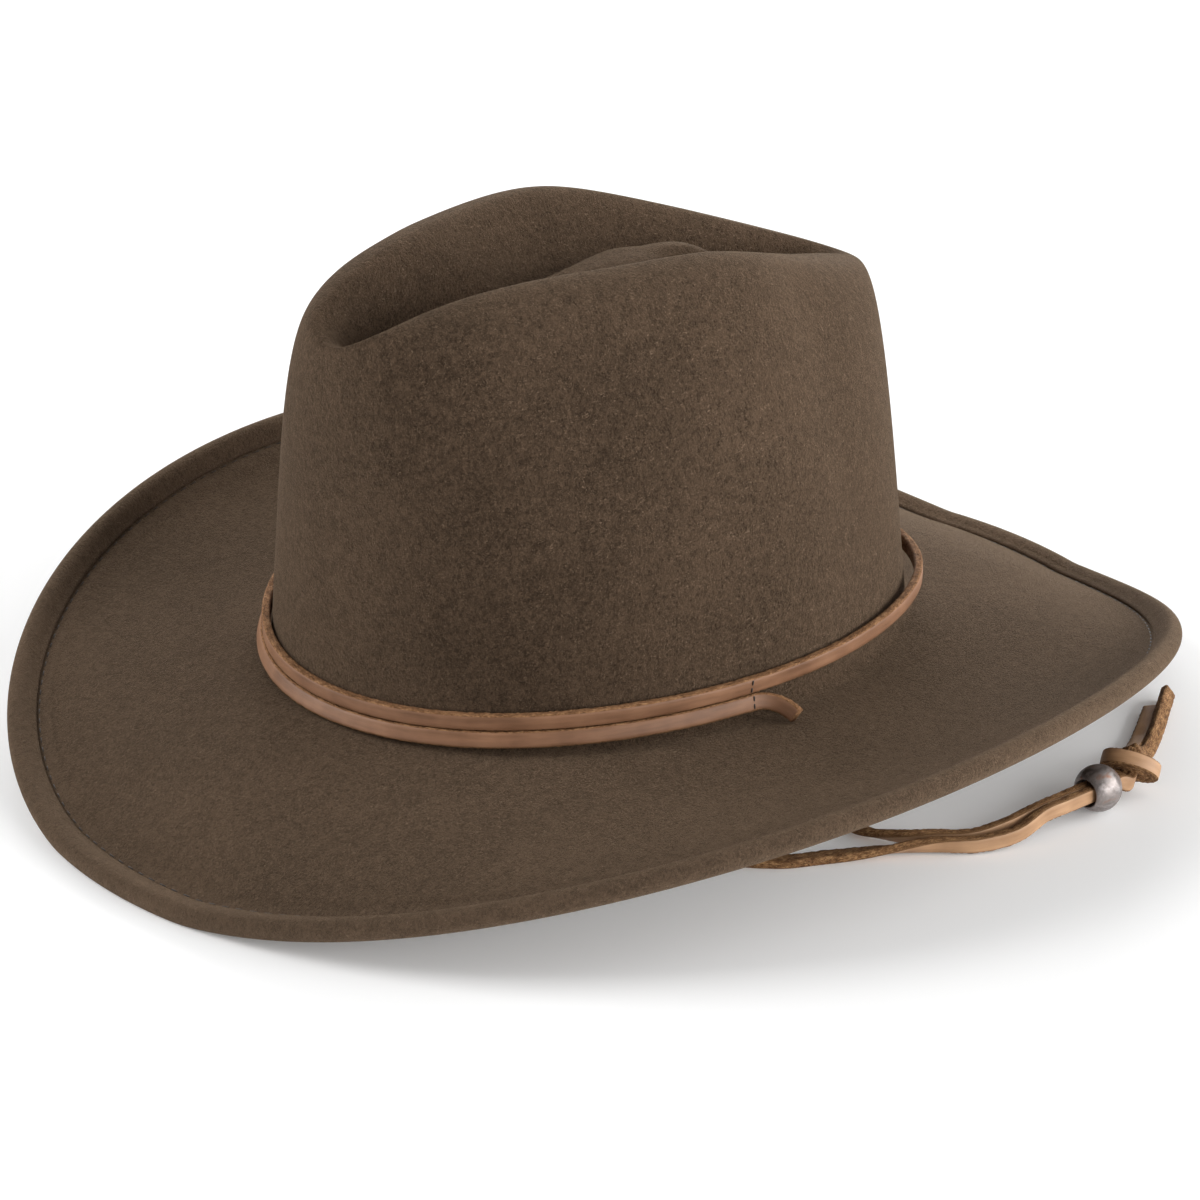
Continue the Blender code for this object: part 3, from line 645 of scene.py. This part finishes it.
def ragged(shape, seed):
    """Shares near 1 for the points of a lace's rings. Its raw sides vary most."""
    rough = np.random.default_rng(seed).normal(size=shape)
    rough = (rough + np.roll(rough, 1, axis=0) + np.roll(rough, 1, axis=1)) / 3
    rough[:, :SIDE_POINTS] *= GRAIN_RAGGED
    return 1 + RAGGED * np.clip(rough, -1.6, 1.6)


def note_run(data, points, section):
    """Stores how far along the lace and round it each vertex is, for the leather's look."""
    run = np.r_[0, np.cumsum(np.linalg.norm(np.diff(points, axis=0), axis=1))]
    girth = np.r_[0, np.cumsum(np.linalg.norm(np.diff(section, axis=0), axis=1))]
    place = np.zeros((len(points) * len(section), 3), np.float32)
    place[:, 0] = np.repeat(run, len(section))
    place[:, 1] = np.tile(girth, len(points))
    data.attributes.new("run", "FLOAT_VECTOR", "POINT").data.foreach_set("vector", place.ravel())


def lace(name, points, facing, finishes, seed, closed=False, width=LACE_WIDTH, thick=LACE_THICK):
    """A flat leather lace along the points. facing is the way that its smooth grain side
    looks at each point; finishes are the grain side's material and the raw sides'."""
    points = np.asarray(points, float)
    face, across = lace_frame(points, facing, closed)
    section = lace_section(width, thick)
    reach = ragged((len(points), len(section)), seed)[..., None]
    rings = points[:, None] + section[:, 0][None, :, None] * across[:, None] * reach
    rings = rings + section[:, 1][None, :, None] * face[:, None] * reach
    data = grid_mesh(name, rings, closed_along=closed)
    note_run(data, points, section)
    for finish in finishes:
        data.materials.append(finish)
    for polygon in data.polygons:
        spots = [vertex % len(section) for vertex in polygon.vertices]
        polygon.material_index = 0 if len(spots) == 4 and max(spots) < SIDE_POINTS else 1
    return data


# ---------------- hat band

JOINT_ANGLE = radians(81.5)
LOOSE_END = 0.014
LOOSE_CURL = radians(80)
LOOSE_DROP = 0.0036
WRAP = radians(490)
CLIMB_FROM = radians(180)
CLIMB_TO = radians(290)
STAND_OFF = 0.0026
STAND_OFF_ANGLE = radians(148)
STAND_OFF_SPREAD = radians(22)
BAND_TOP = 0.0436
BAND_SADDLE = 0.0022
TURN_GAP = 0.0002
FIRST_TURN_OUT = 0.0012
FIRST_TURN_LEAN = 0.34
STITCH_SPACING = 0.0022
STITCH_SLANT = 0.16
END_STITCH = radians(5)
WOUND_STEPS = 1500
LOOSE_STEPS = 29
BAND_GAP = 0.0003


def band_height(t, upper):
    top = BAND_TOP - BAND_SADDLE * np.cos(2 * t)
    return top - LACE_WIDTH / 2 - (1 - upper) * (LACE_WIDTH + TURN_GAP)


def wound_lace(run):
    """Middle of the lace after it has run this far round from the joint."""
    t = JOINT_ANGLE - run
    upper = ease(CLIMB_FROM, CLIMB_TO, run)
    away = (t - STAND_OFF_ANGLE + pi) % (2 * pi) - pi
    gap = BAND_GAP + LACE_THICK / 2 + FIRST_TURN_OUT * (1 - upper)
    gap = gap + STAND_OFF * np.exp(-(away / STAND_OFF_SPREAD)**2)
    plan = oval(t) + oval_normal(t) * gap[:, None]
    return np.column_stack([plan, band_height(t, upper)])


def lace_lean(run):
    """How far the lace's face leans back: the brim's curve pushes out the first turn's foot."""
    return FIRST_TURN_LEAN * (1 - ease(CLIMB_FROM, CLIMB_TO, run))


def loose_lace(share):
    """Middle of the loose end: share is 0 at the joint and 1 at the cut."""
    start = wound_lace(np.zeros(1))[0]
    outwards = oval_normal(np.array([JOINT_ANGLE]))[0]
    onwards = np.array([-outwards[1], outwards[0]])
    radius = LOOSE_END / LOOSE_CURL
    turned = LOOSE_CURL * share[:, None]
    plan = start[:2] + radius * (onwards * np.sin(turned) + outwards * (1 - np.cos(turned)))
    return np.column_stack([plan, start[2] - LOOSE_DROP * share**2])


def make_hat_band(finishes):
    """One leather lace, wound nearly one and a half times round the crown."""
    wound = np.linspace(0, WRAP, WOUND_STEPS)
    middle = np.vstack([loose_lace(np.linspace(1, 0, LOOSE_STEPS)[:-1]), wound_lace(wound)])
    along = unit(np.gradient(middle, axis=0))
    outwards = np.cross(UP, along)
    run = np.r_[np.zeros(LOOSE_STEPS - 1), wound]
    facing = outwards + lace_lean(run)[:, None] * UP
    data = lace("hat_band", middle, facing, finishes, seed=3)
    piece = new_object("hat_band", data)
    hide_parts("hat_band_lace")


# ---------------- chin cord

def beside_bead(along, side):
    """A strand's middle this far along its straight stretch from the bead."""
    return (BEAD_AT[0] + side * PAIR_HALF_GAP, BEAD_AT[1] + along, BEAD_AT[2])


FLAT = LACE_THICK / 2 + 0.0001      # height of a strand that lies flat
CORD_SPACING = 0.0006
LEFT_ROUTE = [
    (0.0797, 0.0078, 0.0455), (0.0804, 0.0078, 0.0390), (0.0805, 0.0078, 0.0320), (0.0800, 0.0080, 0.0240),
    (0.0775, 0.0085, 0.0140), (0.0700, 0.0100, 0.0050), (0.0560, 0.0110, FLAT), (0.0360, 0.0080, FLAT),
    (0.0220, -0.0070, FLAT), (0.0240, -0.0280, FLAT), (0.0440, -0.0430, FLAT), (0.0740, -0.0450, FLAT),
    (0.0990, -0.0420, FLAT), (0.1130, -0.0320, FLAT), (0.1205, -0.0190, FLAT), (0.1290, -0.0050, 0.0018),
    (0.1370, 0.0075, 0.0023), (0.1447, 0.0175, 0.0027), (0.1492, 0.0285, 0.0040),
    *(beside_bead(along, 1) for along in (-0.0240, -0.0160, -0.0050, 0.0060)),
]
RIGHT_ROUTE = [
    (-0.0797, 0.0078, 0.0455), (-0.0804, 0.0078, 0.0390), (-0.0805, 0.0078, 0.0320),
    (-0.0802, 0.0084, 0.0240), (-0.0785, 0.0110, 0.0140), (-0.0720, 0.0170, 0.0050),
    (-0.0600, 0.0250, FLAT), (-0.0380, 0.0370, FLAT), (-0.0080, 0.0430, FLAT), (0.0240, 0.0430, FLAT),
    (0.0520, 0.0370, FLAT), (0.0760, 0.0250, FLAT), (0.0960, 0.0090, FLAT), (0.1130, -0.0005, 0.0016),
    (0.1255, 0.0030, 0.0022), (0.1335, 0.0108, 0.0025), (0.1408, 0.0190, 0.0030), (0.1447, 0.0285, 0.0048),
    *(beside_bead(along, -1) for along in (-0.0240, -0.0160, -0.0050, 0.0060)),
]
KNOT_AT = np.array([0.1472, 0.0779, 0.0091])
KNOT_AXIS = unit([-0.384, 0.677, 0.622])
LEFT_TAIL = [(0.1460, 0.0812, 0.0122), (0.1425, 0.0865, 0.0085), (0.1373, 0.0953, 0.0036),
             (0.1300, 0.1075, 0.0027), (0.1208, 0.1208, 0.0027), (0.1118, 0.1337, 0.0027)]
RIGHT_TAIL = [(0.1445, 0.0806, 0.0122), (0.1395, 0.0855, 0.0080), (0.1327, 0.0955, 0.0036),
              (0.1240, 0.1090, FLAT), (0.1152, 0.1224, FLAT)]


def make_chin_cord(finishes):
    """Two strands that lie flat under the hat and turn on edge towards the bead."""
    strands = []
    for side, route, sign, seed in (("left", LEFT_ROUTE, 1, 11), ("right", RIGHT_ROUTE, -1, 12)):
        middle = smooth_curve(route, CORD_SPACING)
        run = np.linspace(0, 1, len(middle))[:, None]
        along = unit(np.gradient(middle, axis=0))
        near_side = unit(np.cross(along, UP))
        lying = ease(0.10, 0.20, run)
        standing = ease(0.70, 0.86, run)
        facing = sign * LEFT * (1 - lying) - UP * lying * (1 - standing) + near_side * standing
        middle = rest_on_floor(middle, facing)
        data = lace(f"cord_{side}", middle, facing, finishes, seed)
        piece = new_object(f"chin_cord_{side}_lace", data)
        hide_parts(f"chin_cord_{side}")
        strands.append((piece, middle))
    return strands


def make_tails(finishes):
    """The cut ends: one lies nearly flat, and the other leans against it."""
    tails = []
    for side, route, (leftward, upward), seed in (("left", LEFT_TAIL, (0.80, -0.60), 21),
                                                  ("right", RIGHT_TAIL, (0.20, 0.98), 22)):
        middle = smooth_curve(route, CORD_SPACING)
        along = unit(np.gradient(middle, axis=0))
        facing = leftward * unit(np.cross(UP, along)) + upward * UP
        middle = rest_on_floor(middle, facing)
        data = lace(f"tail_{side}", middle, facing, finishes, seed)
        piece = new_object(f"chin_cord_tail_{side}_lace", data)
        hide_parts(f"chin_cord_tail_{side}")
        tails.append(piece)
    return tails


KNOT_LONG_WAY = unit(np.cross(KNOT_AXIS, np.cross([0.7126, 0.6474, -0.2667], KNOT_AXIS)))
KNOT_HALF_LENGTH = 0.0076
KNOT_HALF_WIDTH = 0.0056
KNOT_SLANT = 0.0006
KNOT_MOUTH = np.array([BEAD_AT[0] + 0.0008, 0.0742, 0.0062])    # where the strands turn up into it


def knot_turn(layer, seed, finishes):
    """One of the knot's two turns: layer 0 lies over layer 1."""
    inset = layer * (LACE_THICK + 0.0001)
    angles = np.linspace(0, 2 * pi, 120, endpoint=False)
    out = np.outer(np.cos(angles), KNOT_LONG_WAY) * (KNOT_HALF_LENGTH - inset)
    out += np.outer(np.sin(angles), np.cross(KNOT_AXIS, KNOT_LONG_WAY)) * (KNOT_HALF_WIDTH - inset)
    slant = KNOT_SLANT * np.sin(angles)[:, None] * KNOT_AXIS
    return lace(f"turn_{layer}", KNOT_AT + out + slant, out, finishes, seed, closed=True)


def make_knot(finishes):
    """Overhand knot: both strands run through, and a doubled turn wraps round them."""
    parts = [knot_turn(0, 31, finishes), knot_turn(1, 32, finishes)]
    for side, tail, seed in ((1, LEFT_TAIL, 33), (-1, RIGHT_TAIL, 34)):
        route = [beside_bead(0.0061, side), beside_bead(0.0080, side),
                 KNOT_MOUTH + side * 0.0012 * LEFT, KNOT_AT + side * 0.0010 * KNOT_LONG_WAY, tail[0]]
        middle = smooth_curve(route, 0.0005)
        turned = ease(0.1, 0.6, np.linspace(0, 1, len(middle)))[:, None]
        facing = (1 - turned) * LEFT + turned * KNOT_LONG_WAY
        parts.append(lace(f"through_{side}", middle, facing, finishes, seed))
    piece = join("chin_cord_knot_lace", parts)
    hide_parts("chin_cord_knot")
    return piece


def make_bead(finish):
    """Turned metal bead with rounded rims to its bore, and a slight hand-made unevenness."""
    rim = 0.0005
    reach = np.sqrt(BEAD_RADIUS**2 - (BEAD_BORE + rim)**2)
    edge = np.arctan2(BEAD_BORE + rim, reach)
    profile = [(BEAD_RADIUS * np.sin(a), BEAD_RADIUS * np.cos(a)) for a in np.linspace(edge, pi - edge, 40)]
    profile += [(BEAD_BORE + 0.3 * rim, -reach - 0.1 * rim), (BEAD_BORE, -reach + rim)]
    profile += [(BEAD_BORE, reach * share) for share in (-0.4, 0, 0.4)]
    profile += [(BEAD_BORE, reach - rim), (BEAD_BORE + 0.3 * rim, reach + 0.1 * rim)]
    rings = []
    for turn in np.linspace(0, 2 * pi, 72, endpoint=False):
        dent = 1 + 0.006 * np.sin(3 * turn + 0.7) * np.sin(2 * turn)
        c, s = dent * np.cos(turn), dent * np.sin(turn)
        rings.append([BEAD_AT + (r * c, along, r * s) for r, along in profile])
    piece = new_object("antiqued_bead", grid_mesh("antiqued_bead", rings, closed_along=True), "bead")
    piece.data.materials.append(finish)
    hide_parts("cord_bead")
    return piece


# ---------------- threads

STITCH_SIDES = 6


def stitch_meshes(centres, along, radius, length):
    """Short rounded threads, one at each centre."""
    half = length / 2
    shoulder = half - 0.6 * radius
    profile = [(-half, 0.35), (-shoulder, 0.9), (0, 1.0), (shoulder, 0.9), (half, 0.35)]
    turns = np.linspace(0, 2 * pi, STITCH_SIDES, endpoint=False)
    meshes = []
    for centre, way in zip(np.asarray(centres), unit(along)):
        side = unit(np.cross(way, [0.31, 0.17, 0.94]))
        over = np.cross(way, side)
        rows = [[centre + way * run + radius * share * (np.cos(a) * side + np.sin(a) * over) for a in turns]
                for run, share in profile]
        meshes.append(grid_mesh("one_stitch", rows))
    return meshes


def add_threads(name, node, meshes, finish):
    """One object that stands for the node, from the meshes of its threads."""
    meshes[0].materials.append(finish)
    piece = join(name, meshes)
    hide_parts(node)


def make_stitches(name, node, centres, along, radius, length, finish):
    add_threads(name, node, stitch_meshes(centres, along, radius, length), finish)


def spaced_round(place, pitch):
    """Evenly spaced points on a closed line round the hat, with their directions."""
    t = np.linspace(0, 2 * pi, 2001)
    line = place(t)
    run = np.r_[0, np.cumsum(np.linalg.norm(np.diff(line, axis=0), axis=1))]
    count = int(round(run[-1] / pitch))
    angles = np.interp(np.arange(count) * run[-1] / count, run, t)
    return place(angles), place(angles + 0.004) - place(angles - 0.004)


EDGE_PITCH = 0.0048
SEAM_PITCH = 0.0042


def make_edge_stitching(finish):
    """Small stitches at the free edge of the turned-over felt, sunk into its nap."""
    def place(t):
        middle, out, up = roll_frame(t)
        return middle - (ROLL_FOLD + 0.0010) * out - (CHANNEL_RADIUS + 0.0001) * up

    centres, along = spaced_round(place, EDGE_PITCH)
    make_stitches("brim_edge_stitches", "edge_stitching", centres, along, 0.00025, 0.0026, finish)


def make_band_stitches(finish):
    """Two stitches in each turn of the lace, at the joint and at the hidden end."""
    for name, first_turn in (("joint", 0.0), ("end", WRAP - END_STITCH - 2 * pi)):
        outwards = np.append(oval_normal(np.array([JOINT_ANGLE - first_turn]))[0], 0)
        sideways = np.cross(UP, outwards)
        centres, ways = [], []
        for run in (first_turn, first_turn + 2 * pi):
            face = unit(outwards + lace_lean(run) * UP)
            slant = unit(np.cross(face, sideways) + STITCH_SLANT * sideways)
            surface = wound_lace(np.array([run]))[0] + face * (LACE_THICK / 2 + 0.0001)
            centres += [surface - slant * STITCH_SPACING / 2, surface + slant * STITCH_SPACING / 2]
            ways += [slant, slant]
        make_stitches(f"band_stitches_{name}", f"band_stitch_{name}", centres, ways, 0.00028, 0.0015, finish)


# ---------------- sweatband

def cord_bulge(t):
    """How far the sweatband stands in where the chin cord runs up behind it."""
    total = 0
    for middle in (CORD_ANGLE, 2 * pi - CORD_ANGLE):
        away = (t - middle + pi) % (2 * pi) - pi
        total = total + CORD_BULGE * np.exp(-(away / CORD_BULGE_SPREAD)**2)
    return total


def inside_point(t, lift, depth):
    """A point inside the crown: lift above the break, depth in from the outer face."""
    height = break_height(t) + lift
    plan = wall_at(t, height) - oval_normal(t) * (depth + cord_bulge(t))[:, None]
    return np.column_stack([plan, height])


NEAR = FELT + SWEATBAND_GAP
FAR = NEAR + SWEATBAND_THICK
REED_DEPTH = NEAR + REED_RADIUS
REED_WRAP = 0.0015
SWEATBAND_OPEN = 0.0005        # half the gap between its ends
SWEATBAND_STEPS = 340
SEAM_LIFT = 0.0042


def sweatband_section():
    """(lift, depth) round the leather: up its outer side, over the top, down its inner
    side and round the reed in its lower edge."""
    outer = [(lift, NEAR) for lift in np.linspace(0.0015, SWEATBAND_HEIGHT - 0.0005, 12)]
    top = [(SWEATBAND_HEIGHT, NEAR + 0.0003), (SWEATBAND_HEIGHT, FAR - 0.0003)]
    inner = [(lift, FAR) for lift in np.linspace(SWEATBAND_HEIGHT - 0.0005, 0.0020, 14)]
    wrap = [(-0.0003 + REED_WRAP * np.sin(a), REED_DEPTH + REED_WRAP * np.cos(a))
            for a in np.radians(np.linspace(35, -200, 14))]
    return outer + top + inner + wrap


def make_sweatband(finish):
    """Leather strip round the inside of the crown, with its ends meeting at the back."""
    gap = SWEATBAND_OPEN / CROWN_HALF_LENGTH
    t = np.linspace(pi + gap, 3 * pi - gap, SWEATBAND_STEPS)
    waviness = 0.0004 * np.sin(9 * t + 0.5) + 0.0003 * np.sin(17 * t + 2.0)
    rings = []
    for lift, depth in sweatband_section():
        slack = waviness * ease(0.004, SWEATBAND_HEIGHT, lift)
        rings.append(inside_point(t, lift, depth + np.abs(slack)))
    rows = [[ring[i] for ring in rings] for i in range(len(t))]
    piece = new_object("sweatband_leather", grid_mesh("sweatband_leather", rows))
    piece.data.materials.append(finish)
    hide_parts("sweatband", "sweatband_reed")


def make_sweatband_stitching(finish):
    """The seam that holds the leather over its reed."""
    def place(t):
        return inside_point(t, SEAM_LIFT, FAR + 0.00005)

    centres, along = spaced_round(place, SEAM_PITCH)
    make_stitches("sweatband_stitches", "sweatband_stitching", centres, along, 0.0003, 0.0027, finish)


def on_sweatband(angle, lift, gap):
    """A place on the sweatband's inner face, with the ways across, up and in to the head."""
    t = np.array([angle])
    point = inside_point(t, lift, FAR + gap)[0]
    up = unit(inside_point(t, lift + 0.01, FAR + gap)[0] - point)
    inwards = np.append(-oval_normal(t)[0], 0)
    across = unit(np.cross(inwards, up))
    return point, across, up, np.cross(up, across)


RIBBON_THICK = 0.0003
LOOP_WIDTH = 0.0036
TAIL_WIDTH = 0.0030
BOW_LIFT = 0.009
BOW_LOOP = [                   # across, up and in to the head from the bow's middle
    (0, 0, 0.0008), (0.0035, 0.0003, 0.0016), (0.0078, 0.0008, 0.0020), (0.0094, 0.0008, 0.0013),
    (0.0080, 0.0005, 0.0006), (0.0038, 0.0001, 0.0005), (0, 0, 0.0004),
]
BOW_TAIL = [(0, 0, 0.0005), (0.0030, -0.0030, 0.0007), (0.0062, -0.0056, 0.0004)]
BOW_WRAP_DEPTH = 0.0011        # half the size of the wrapped middle, in to the head
BOW_WRAP_HEIGHT = 0.0019       # and upwards


def make_bow(finish):
    """Ribbon bow where the sweatband's ends meet: two loops, two tails and a wrapped middle."""
    point, across, up, inwards = on_sweatband(pi, BOW_LIFT, 0.0003)

    def strip(name, shape, side, edge_way, wide, outer_face):
        middle = smooth_curve([point + side * a * across + b * up + c * inwards for a, b, c in shape], 0.0005)
        facing = np.cross(unit(np.gradient(middle, axis=0)), edge_way)
        if outer_face:
            facing = facing * np.sign((facing * inwards).sum(axis=1, keepdims=True) + 1e-9)
        return lace(name, middle, facing, (finish,), 41, width=wide, thick=RIBBON_THICK)

    parts = []
    for side in (1, -1):
        parts.append(strip(f"bow_{side}", BOW_LOOP, side, up, LOOP_WIDTH, False))
        parts.append(strip(f"bow_{side}", BOW_TAIL, side, unit(up + side * across), TAIL_WIDTH, True))
    turns = np.linspace(0, 2 * pi, 40, endpoint=False)
    centre = point + BOW_WRAP_DEPTH * inwards
    out = np.outer(np.cos(turns), inwards) * BOW_WRAP_DEPTH + np.outer(np.sin(turns), up) * BOW_WRAP_HEIGHT
    parts.append(lace("bow_middle", centre + out, out, (finish,), 42, closed=True,
                      width=TAIL_WIDTH, thick=RIBBON_THICK))
    piece = join("ribbon_bow", parts)
    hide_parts("sweatband_bow")


LABEL_ANGLE = radians(203)
LABEL_LIFT = 0.019
LABEL_HALF_ANGLE = 0.009 / 0.094    # its half width over the sweatband's radius there
LABEL_HALF_HEIGHT = 0.005
LABEL_THICK = 0.0004
LABEL_SQUARE = 14              # the power that rounds its corners


def label_ring(share, depth):
    """A rounded square on the sweatband, this share of the label's size."""
    turn = np.linspace(0, 2 * pi, 64, endpoint=False)
    over, up = np.cos(turn), np.sin(turn)
    square = np.maximum(np.abs(over), np.abs(up))
    soft = (np.abs(over)**LABEL_SQUARE + np.abs(up)**LABEL_SQUARE)**(1 / LABEL_SQUARE)
    reach = share / (0.35 * square + 0.65 * soft)
    t = LABEL_ANGLE + LABEL_HALF_ANGLE * reach * over
    return inside_point(t, LABEL_LIFT + LABEL_HALF_HEIGHT * reach * up, FAR + 0.0001 + depth)


def make_label(finish):
    """Blank woven label on the sweatband, with its corners rounded."""
    shares = np.linspace(0, 1, 8)[1:]
    middles = [label_ring(0, depth)[:1] for depth in (0, LABEL_THICK)]
    back = [label_ring(share, 0) for share in shares]
    front = [label_ring(share, LABEL_THICK) for share in shares[::-1]]
    rows = [middles[0], *back, *front, middles[1]]
    piece = new_object("woven_label", grid_mesh("woven_label", rows))
    piece.data.materials.append(finish)
    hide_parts("size_label")


TACK_LIFT = 0.012
TACK_THREAD = 0.00026


def make_cord_tacks(finish):
    """Bar tack that holds each end of the chin cord: three long threads under twelve wraps."""
    for side, angle in (("left", CORD_ANGLE), ("right", 2 * pi - CORD_ANGLE)):
        point, across, up, inwards = on_sweatband(angle, TACK_LIFT, 0.0002)
        core = [point + 0.0006 * lift * up for lift in (-1, 0, 1)]
        wraps = [point + across * a + 0.0002 * inwards for a in np.linspace(-0.0026, 0.0026, 12)]
        threads = stitch_meshes(core, [across] * len(core), TACK_THREAD, 0.0062)
        threads += stitch_meshes(wraps, [up + 0.25 * across] * len(wraps), TACK_THREAD, 0.0024)
        add_threads(f"bar_tack_{side}", f"cord_tack_{side}", threads, finish)


# ---------------- stage

CAMERA_AZIMUTH = radians(49.05)
CAMERA_ELEVATION = radians(23.11)
CAMERA_DISTANCE = 1.3
CAMERA_LENS = 129.7            # on a sensor 36 mm wide
STAGE_MIDDLE = np.array([0.0, 0.0, 0.06])
CAMERA_DROP = 0.0226           # how far below that point the camera looks


def from_direction(azimuth, elevation):
    """The direction towards this azimuth, counted from the front of the hat, and elevation."""
    level = np.array([np.sin(azimuth), -np.cos(azimuth), 0.0])
    return level * np.cos(elevation) + UP * np.sin(elevation)


def make_camera():
    """The photograph's view: its angle, distance and lens."""
    back = from_direction(CAMERA_AZIMUTH, CAMERA_ELEVATION)
    up = from_direction(CAMERA_AZIMUTH, CAMERA_ELEVATION + pi / 2)
    data = bpy.data.cameras.new("camera")
    data.lens = CAMERA_LENS
    data.sensor_width = 36.0
    camera = bpy.data.objects.new("camera", data)
    bpy.context.scene.collection.objects.link(camera)
    spot = STAGE_MIDDLE + CAMERA_DISTANCE * back
    aim = STAGE_MIDDLE - CAMERA_DROP * up
    camera.location = spot
    camera.rotation_euler = Vector(aim - spot).to_track_quat("-Z", "Y").to_euler()
    bpy.context.scene.camera = camera


LIGHT_DISTANCE = 1.9
LIGHT_SIZE = 1.2
STUDIO = {                     # azimuth and elevation in degrees, and power in watts
    "front_left_low": (-41, 12, 13.0),
    "front_left_high": (-41, 42, 20.0),
    "right_low": (94, 12, 25.0),
    "side_low": (139, 12, 28.0),
    "side_high": (139, 42, 6.0),
    "back_low": (229, 12, 30.0),
}
WORLD_STRENGTH = 0.22
FLOOR_HALF = 6.0
FLOOR_GLOW = 0.12              # the floor is a faintly lit table


def make_light(name, azimuth, elevation, power):
    """A soft square light that the camera doesn't see."""
    data = bpy.data.lights.new(name, "AREA")
    data.shape = "SQUARE"
    data.size = LIGHT_SIZE
    data.energy = power
    light = bpy.data.objects.new(name, data)
    bpy.context.scene.collection.objects.link(light)
    way = from_direction(radians(azimuth), radians(elevation))
    light.location = STAGE_MIDDLE + LIGHT_DISTANCE * way
    light.rotation_euler = Vector(-way).to_track_quat("-Z", "Y").to_euler()
    light.visible_camera = False


def make_floor():
    """A pale table top, just under what the hat stands on."""
    data = bpy.data.meshes.new("floor")
    corners = [(a * FLOOR_HALF, b * FLOOR_HALF, 0) for a, b in ((-1, -1), (1, -1), (1, 1), (-1, 1))]
    data.from_pydata(corners, [], [(0, 1, 2, 3)])
    floor = bpy.data.objects.new("floor", data)
    bpy.context.scene.collection.objects.link(floor)
    floor.location.z = -0.0001
    paint = Nodes("floor", 0.9, Emission_Color=(1, 1, 1, 1), Emission_Strength=FLOOR_GLOW)
    paint.colour((0.90, 0.90, 0.90, 1.0))
    data.materials.append(paint.material)


def make_stage():
    make_floor()
    world = bpy.data.worlds.new("studio")
    world.use_nodes = True
    background = world.node_tree.nodes["Background"]
    background.inputs["Color"].default_value = (1, 1, 1, 1)
    background.inputs["Strength"].default_value = WORLD_STRENGTH
    bpy.context.scene.world = world
    bpy.context.scene.view_settings.view_transform = "Standard"
    for name, (azimuth, elevation, power) in STUDIO.items():
        make_light(name, azimuth, elevation, power)


# ---------------- the hat

felt = felt_material("brown_felt", dark=(0.026, 0.0156, 0.0094), light=(0.100, 0.0637, 0.0405),
                     fleck=(0.29, 0.20, 0.135))
band_finishes = (
    grain_leather("band_grain", dark=(0.17, 0.078, 0.038), light=(0.34, 0.172, 0.092)),
    raw_leather("band_raw", dark=(0.06, 0.028, 0.012), middle=(0.24, 0.115, 0.050), light=(0.46, 0.26, 0.13)),
)
cord_finishes = (
    grain_leather("cord_grain", dark=(0.30, 0.162, 0.078), light=(0.54, 0.32, 0.175)),
    raw_leather("cord_raw", dark=(0.05, 0.023, 0.010), middle=(0.19, 0.092, 0.038),
                light=(0.46, 0.27, 0.125)),
)

dark_thread = thread_material("dark_thread", (0.012, 0.009, 0.007), (0.045, 0.033, 0.026))
brown_thread = thread_material("brown_thread", (0.022, 0.014, 0.009), (0.050, 0.033, 0.021))

make_felt(felt)
make_hat_band(band_finishes)
cord_strands = make_chin_cord(cord_finishes)
tails = make_tails(cord_finishes)
knot = make_knot(cord_finishes)
bead = make_bead(antique_metal("antique_copper"))

for (strand, path), pieces in zip(cord_strands, ([bead, knot, *tails], [])):
    tuple(path[0])
    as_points(path)
    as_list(pieces)

make_edge_stitching(brown_thread)
make_band_stitches(dark_thread)
make_sweatband(sweatband_material())
make_sweatband_stitching(brown_thread)
make_bow(ribbon_material())
make_label(label_material())
make_cord_tacks(dark_thread)

hidden_metals = {"brim_wire": plain_metal("spring_steel", (0.50, 0.50, 0.52), 0.3),
                 "wire_splice": plain_metal("splice_brass", (0.60, 0.45, 0.22), 0.35)}
for node, finish in hidden_metals.items():
    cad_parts[node].data.materials.clear()
    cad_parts[node].data.materials.append(finish)

make_stage()
make_camera()
